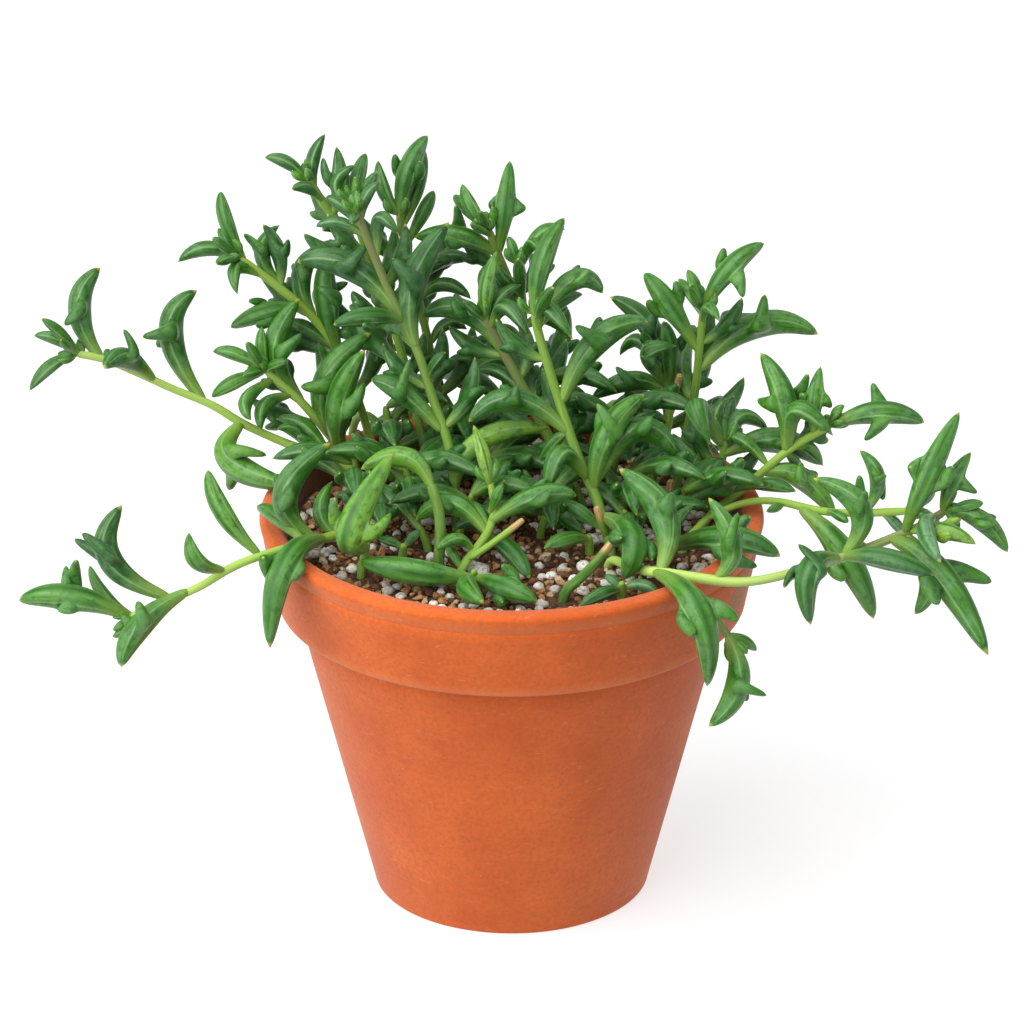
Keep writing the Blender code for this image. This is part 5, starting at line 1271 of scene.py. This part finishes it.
def grow_shoot(name, laid, leaves, materials):
    """Builds one shoot as one piece and sets it in place of its solid."""
    skin = Skin()
    draw = random.Random(len(leaves) * 7 + len(name))
    roots = [leaf.root for leaf, shade, by_hand in leaves]
    for number, route in enumerate(laid.routes(STEM_STEP)):
        cut = number == laid.cut
        skin_stem(skin, route, laid.radii[number], roots, cut, BRANCH_START if number else 0.0,
                  blush=laid.blush, tone=laid.ripeness)
        if not cut and len(laid.leaves) > FEW_LEAVES:
            for bud in bud_leaves(route, draw):
                skin_leaf(skin, bud, BUD_SHADE, False)
    for leaf, shade, by_hand in leaves:
        shade += draw.uniform(-SHADE_SPREAD, SHADE_SPREAD)
        skin_leaf(skin, leaf, max(0.0, shade), by_hand)
    piece = mesh_object("leafy_" + name, skin.points, skin.faces, *materials)
    piece.data.polygons.foreach_set("material_index", skin.kinds)
    for mark_name in SKIN_MARKS:
        mark(piece, mark_name, [marks.get(mark_name, 0.0) for marks in skin.marks])
    smoother = piece.modifiers.new("smooth_skin", "SUBSURF")
    smoother.levels = smoother.render_levels = SKIN_LEVELS
    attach(piece, "root")
    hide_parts(name)


fitted_leaves = fit_leaves()
skins = (stem_skin(), leaf_skin())
for shoot_name, laid_shoot in shoots.items():
    grow_shoot(shoot_name, laid_shoot, fitted_leaves[shoot_name], skins)

# ---------------------------------------------------------------- the potting mix
# A gritty succulent mix filled in round the stems: dark fines, brown bark and pumice, tan grit and
# white perlite. It lies loose, level and a little below the rim.
FLOOR_GAP, WALL_GAP = 0.3, 0.48
SETTLING = 0.9
# Height and size
HUMPS, CRUMBS = (0.5, 9.0), (0.4, 2.2)
SOIL_SEGMENTS = 96
SOIL_RINGS = 30


def inner_wall_radius(height):
    share = (height - BASE_THICKNESS) / (POT_HEIGHT - BASE_THICKNESS)
    return FLOOR_RADIUS + (MOUTH_RADIUS - FLOOR_RADIUS) * share


def soil_height(across, back):
    """The loose surface: low humps with small crumbs on them."""
    place = Vector((across, back, 0))
    return SOIL_HEIGHT - SETTLING + sum(height * noise.noise(place / size)
                                        for height, size in (HUMPS, CRUMBS))


def soil_surface():
    """The plug of mix as one closed mesh."""
    around = [(math.cos(turn), math.sin(turn)) for turn in turns(SOIL_SEGMENTS)]
    top_radius = inner_wall_radius(SOIL_HEIGHT) - WALL_GAP
    radii = [top_radius * ring / SOIL_RINGS for ring in range(1, SOIL_RINGS + 1)]
    points = [(0.0, 0.0, soil_height(0.0, 0.0))]
    points += [(radius * x, radius * y, soil_height(radius * x, radius * y))
               for radius in radii for x, y in around]
    foot_radius, foot = inner_wall_radius(BASE_THICKNESS) - WALL_GAP, len(points)
    points += [(foot_radius * x, foot_radius * y, BASE_THICKNESS + FLOOR_GAP) for x, y in around]
    faces = [tuple(reversed(range(foot, foot + SOIL_SEGMENTS)))]
    for s in range(SOIL_SEGMENTS):
        after = (s + 1) % SOIL_SEGMENTS
        faces.append((0, 1 + s, 1 + after))
        faces += [(n + s, n + SOIL_SEGMENTS + s, n + SOIL_SEGMENTS + after, n + after)
                  for n in range(1, foot, SOIL_SEGMENTS)]
    return points, faces


def damp_fines():
    """Peat and composted bark, sieved fine: nearly black, dull, and crumbly."""
    made, add, place = new_material("damp_peat_fines")
    crumbs = add("TexNoise", {"Vector": place, "Scale": per_mm(1.6), "Detail": 5.0,
                              "Roughness": 0.7})
    colour = add("ValToRGB", {"Fac": crumbs}, ramp=((0.36, "#1D120B"), (0.66, "#6E4A2E")))
    bump = add("Bump", {"Height": crumbs, "Strength": 0.9, "Distance": 0.6 * MM})
    return finished(made, {"Base Color": colour, "Normal": bump, "Roughness": 0.92})


fines = mesh_object("potting_fines", *soil_surface(), damp_fines())
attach(fines, "root")
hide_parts("soil")

LARGE_SEED, SMALL_SEED, GRAIN_SEED = 7, 23, 31
LARGE_GRAINS = 16
LARGE_GRAIN_SIZES = (2.0, 3.2)
LARGE_GRAIN_REACH = 54.0
# Room beside a large grain, to a stem's middle and to the next large grain, and beside a small one,
# to a stem's middle and to the pot
LARGE_GRAIN_ROOM = (3.6, 0.6)
SMALL_GRAIN_ROOM = (2.4, 1.0)
SMALL_GRAINS = 12000
SMALL_GRAIN_SIZES = (0.5, 2.0)
GRAIN_FALL = 0.4
GRAIN_CELL = 5.2
GRAIN_CROWDING = 0.78
GRAIN_LIFT = (-0.1, 0.5)
TINY_GRAIN = 0.8
PERLITE_SHARE = 0.42
PERLITE_LEAST = 1.3
PERLITE_KNOBS = 0.4
GRIT_FACES = 10
GRIT_FACE_REACH = (0.45, 0.85)
GRIT_LONGEST = 1.2


def scattered(draw, reach):
    """A seeded (across, back) place on the mix."""
    turn, out = draw.uniform(0, math.tau), reach * math.sqrt(draw.random())
    return out * math.cos(turn), out * math.sin(turn)


def grain_places(roots):
    """Seeded places of the largest grains, clear of the stems' holes and of each other."""
    draw, places = random.Random(LARGE_SEED), []
    while len(places) < LARGE_GRAINS:
        radius = draw.uniform(*LARGE_GRAIN_SIZES)
        place = Vector((*scattered(draw, LARGE_GRAIN_REACH), SOIL_HEIGHT))
        if all((place - root).length > radius + LARGE_GRAIN_ROOM[0] for root in roots) and \
           all((place - other).length > radius + size + LARGE_GRAIN_ROOM[1]
               for other, size in places):
            places.append((place, radius))
    return places


def small_grain_places(roots, large):
    """Seeded places of the rest, packed close, each checked against those in the cells round it."""
    draw, places, cells = random.Random(SMALL_SEED), list(large), {}
    low, high = SMALL_GRAIN_SIZES

    def cell_of(place):
        return int(place.x // GRAIN_CELL), int(place.y // GRAIN_CELL)

    for place, radius in large:
        cells.setdefault(cell_of(place), []).append((place, radius))
    for number in range(SMALL_GRAINS):
        radius = high - (high - low) * (number / SMALL_GRAINS) ** GRAIN_FALL
        reach = inner_wall_radius(SOIL_HEIGHT) - SMALL_GRAIN_ROOM[1] - radius
        place = Vector((*scattered(draw, reach), 0))
        place.z = soil_height(place.x, place.y) + draw.uniform(*GRAIN_LIFT) * radius
        column, row = cell_of(place)
        near = [grain for i in (-1, 0, 1) for j in (-1, 0, 1)
                for grain in cells.get((column + i, row + j), ())]
        if all((place - root).length > radius + SMALL_GRAIN_ROOM[0] for root in roots) and \
           all((place - other).length > GRAIN_CROWDING * (radius + size) for other, size in near):
            places.append((place, radius))
            cells.setdefault((column, row), []).append((place, radius))
    return places


def random_way(draw):
    """A seeded direction in space."""
    return Vector((draw.gauss(0, 1), draw.gauss(0, 1), draw.gauss(0, 1))).normalized()


def add_grain(points, faces, shades, centre, radius, shade, draw, puffed):
    """One stone: puffed round and knobbly, or crushed to a chip with flat faces."""
    ball = bmesh.new()
    bmesh.ops.create_icosphere(ball, subdivisions=1 if radius < TINY_GRAIN else 2, radius=1.0)
    breaks = [(random_way(draw), draw.uniform(*GRIT_FACE_REACH)) for _ in range(GRIT_FACES)]
    turn = Matrix.Rotation(draw.uniform(0, math.tau), 3, "Z") @ \
        Matrix.Rotation(draw.uniform(-0.5, 0.5), 3, "X")
    squash = Matrix.Diagonal((1.0, draw.uniform(0.72, 1.0), draw.uniform(0.55, 0.85)))
    offset, first = Vector((draw.uniform(0, 50), 0, 0)), len(points)
    for vertex in ball.verts:
        knob = 1 + PERLITE_KNOBS * noise.noise(vertex.co * 1.6 + offset)
        if not puffed:
            knob *= min([GRIT_LONGEST] + [reach / vertex.co.dot(way) for way, reach in breaks
                                          if vertex.co.dot(way) > 0.3])
        points.append(centre + turn @ squash @ (vertex.co * radius * knob))
        shades.append(shade)
    faces += [tuple(first + vertex.index for vertex in face.verts) for face in ball.faces]
    ball.free()


def pitted_stone(name, ramp, pit_size, stain, bump, roughness):
    """Dry stones, each with its own shade, and with pits that a stain fills."""
    made, add, place = new_material(name)
    shade = add("Attribute", {}, output="Fac", attribute_name="shade")
    stone = add("ValToRGB", {"Fac": shade}, ramp=ramp)
    pits = add("TexNoise", {"Vector": place, "Scale": per_mm(pit_size), "Detail": 4.0})
    colour = stained(add, stone, (stain[0], pits, *stain[1:]))
    rough = add("Bump", {"Height": pits, "Strength": bump[0], "Distance": bump[1] * MM})
    return finished(made, {"Base Color": colour, "Normal": rough, "Roughness": roughness})


def dry_grit():
    """Pumice, bark and crushed clay, dry on top: brown to tan stones with a pitted face."""
    return pitted_stone("crushed_pumice_and_bark",
                        ((0.0, "#4A2D1A"), (1.0, "#DCC5A0"), (0.3, "#7E5232"), (0.7, "#B5834F")),
                        0.9, ("#4A2C17", 0.52, 0.36, 0.5), (0.7, 0.3), 0.88)


def puffed_perlite():
    """Perlite, volcanic glass puffed by heat: chalk white to pale grey, dull, with a few small
    soil-stained pits."""
    return pitted_stone("puffed_perlite", ((0.1, "#C4BDB2"), (0.6, "#EFEBE3")), 1.1,
                        ("#8C7862", 0.5, 0.36, 0.7), (0.45, 0.2), 0.85)


stem_roots = [laid.root for laid in shoots.values()]
draw = random.Random(GRAIN_SEED)
grit_parts, perlite_parts = ([], [], []), ([], [], [])
for grain_place, radius in small_grain_places(stem_roots, grain_places(stem_roots)):
    white = radius > PERLITE_LEAST and draw.random() < PERLITE_SHARE
    add_grain(*(perlite_parts if white else grit_parts), grain_place, radius, draw.random(), draw,
              white)
for grain_name, (points, faces, shades), material in (
        ("grit_grains", grit_parts, dry_grit()),
        ("perlite_grains", perlite_parts, puffed_perlite())):
    grains = mesh_object(grain_name, points, faces, material)
    if grain_name == "grit_grains":
        grains.data.shade_flat()
    mark(grains, "shade", shades)
    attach(grains, "root")

# ---------------------------------------------------------------- the studio
# A plain white sweep, a white room with a dim soft ceiling and one large soft window to the left, so
# that the pot's left is brightest and its shadow falls softly to the right. The paper is lit from
# behind too, like a light table, and is kept from throwing its light back up at the pot.
FLOOR_SIDE = 12.0
ROOM_LIGHT = 0.53
PAPER_GLOW = 0.66
WHITE = (1.0, 1.0, 1.0, 1.0)
# Each light's name, its place and side in metres, and its power in watts
LIGHTS = (("soft_window", Vector((-1.45, -1.15, 1.6)), 3.2, 84.0),
          ("soft_ceiling", Vector((0.0, 0.0, 2.3)), 2.0, 14.0))

paper = bpy.data.materials.new("matt_white_paper")
paper.use_nodes = True
finished(paper, {"Base Color": paint("#ADAFB0"), "Roughness": 1.0, "Specular IOR Level": 0.0,
                 "Emission Color": WHITE, "Emission Strength": PAPER_GLOW})
sweep = bpy.data.meshes.new("white_sweep")
sweep.from_pydata([(x * FLOOR_SIDE / 2, y * FLOOR_SIDE / 2, 0.0)
                   for x, y in ((-1, -1), (1, -1), (1, 1), (-1, 1))], [], [(0, 1, 2, 3)])
sweep.materials.append(paper)
floor = place_in_scene("white_sweep", sweep)
floor.visible_diffuse = False

for light_name, light_place, side, power in LIGHTS:
    light = bpy.data.lights.new(light_name, "AREA")
    light.shape, light.size, light.energy = "SQUARE", side, power
    lamp = place_in_scene(light_name, light)
    lamp.location = light_place
    lamp.rotation_euler = (AIM * MM - light_place).to_track_quat("-Z", "Y").to_euler()

room = bpy.data.worlds.new("white_room")
room.use_nodes = True
fill(room.node_tree.nodes["Background"], {"Color": WHITE, "Strength": ROOM_LIGHT})
bpy.context.scene.world = room
bpy.context.scene.view_settings.view_transform = "Standard"
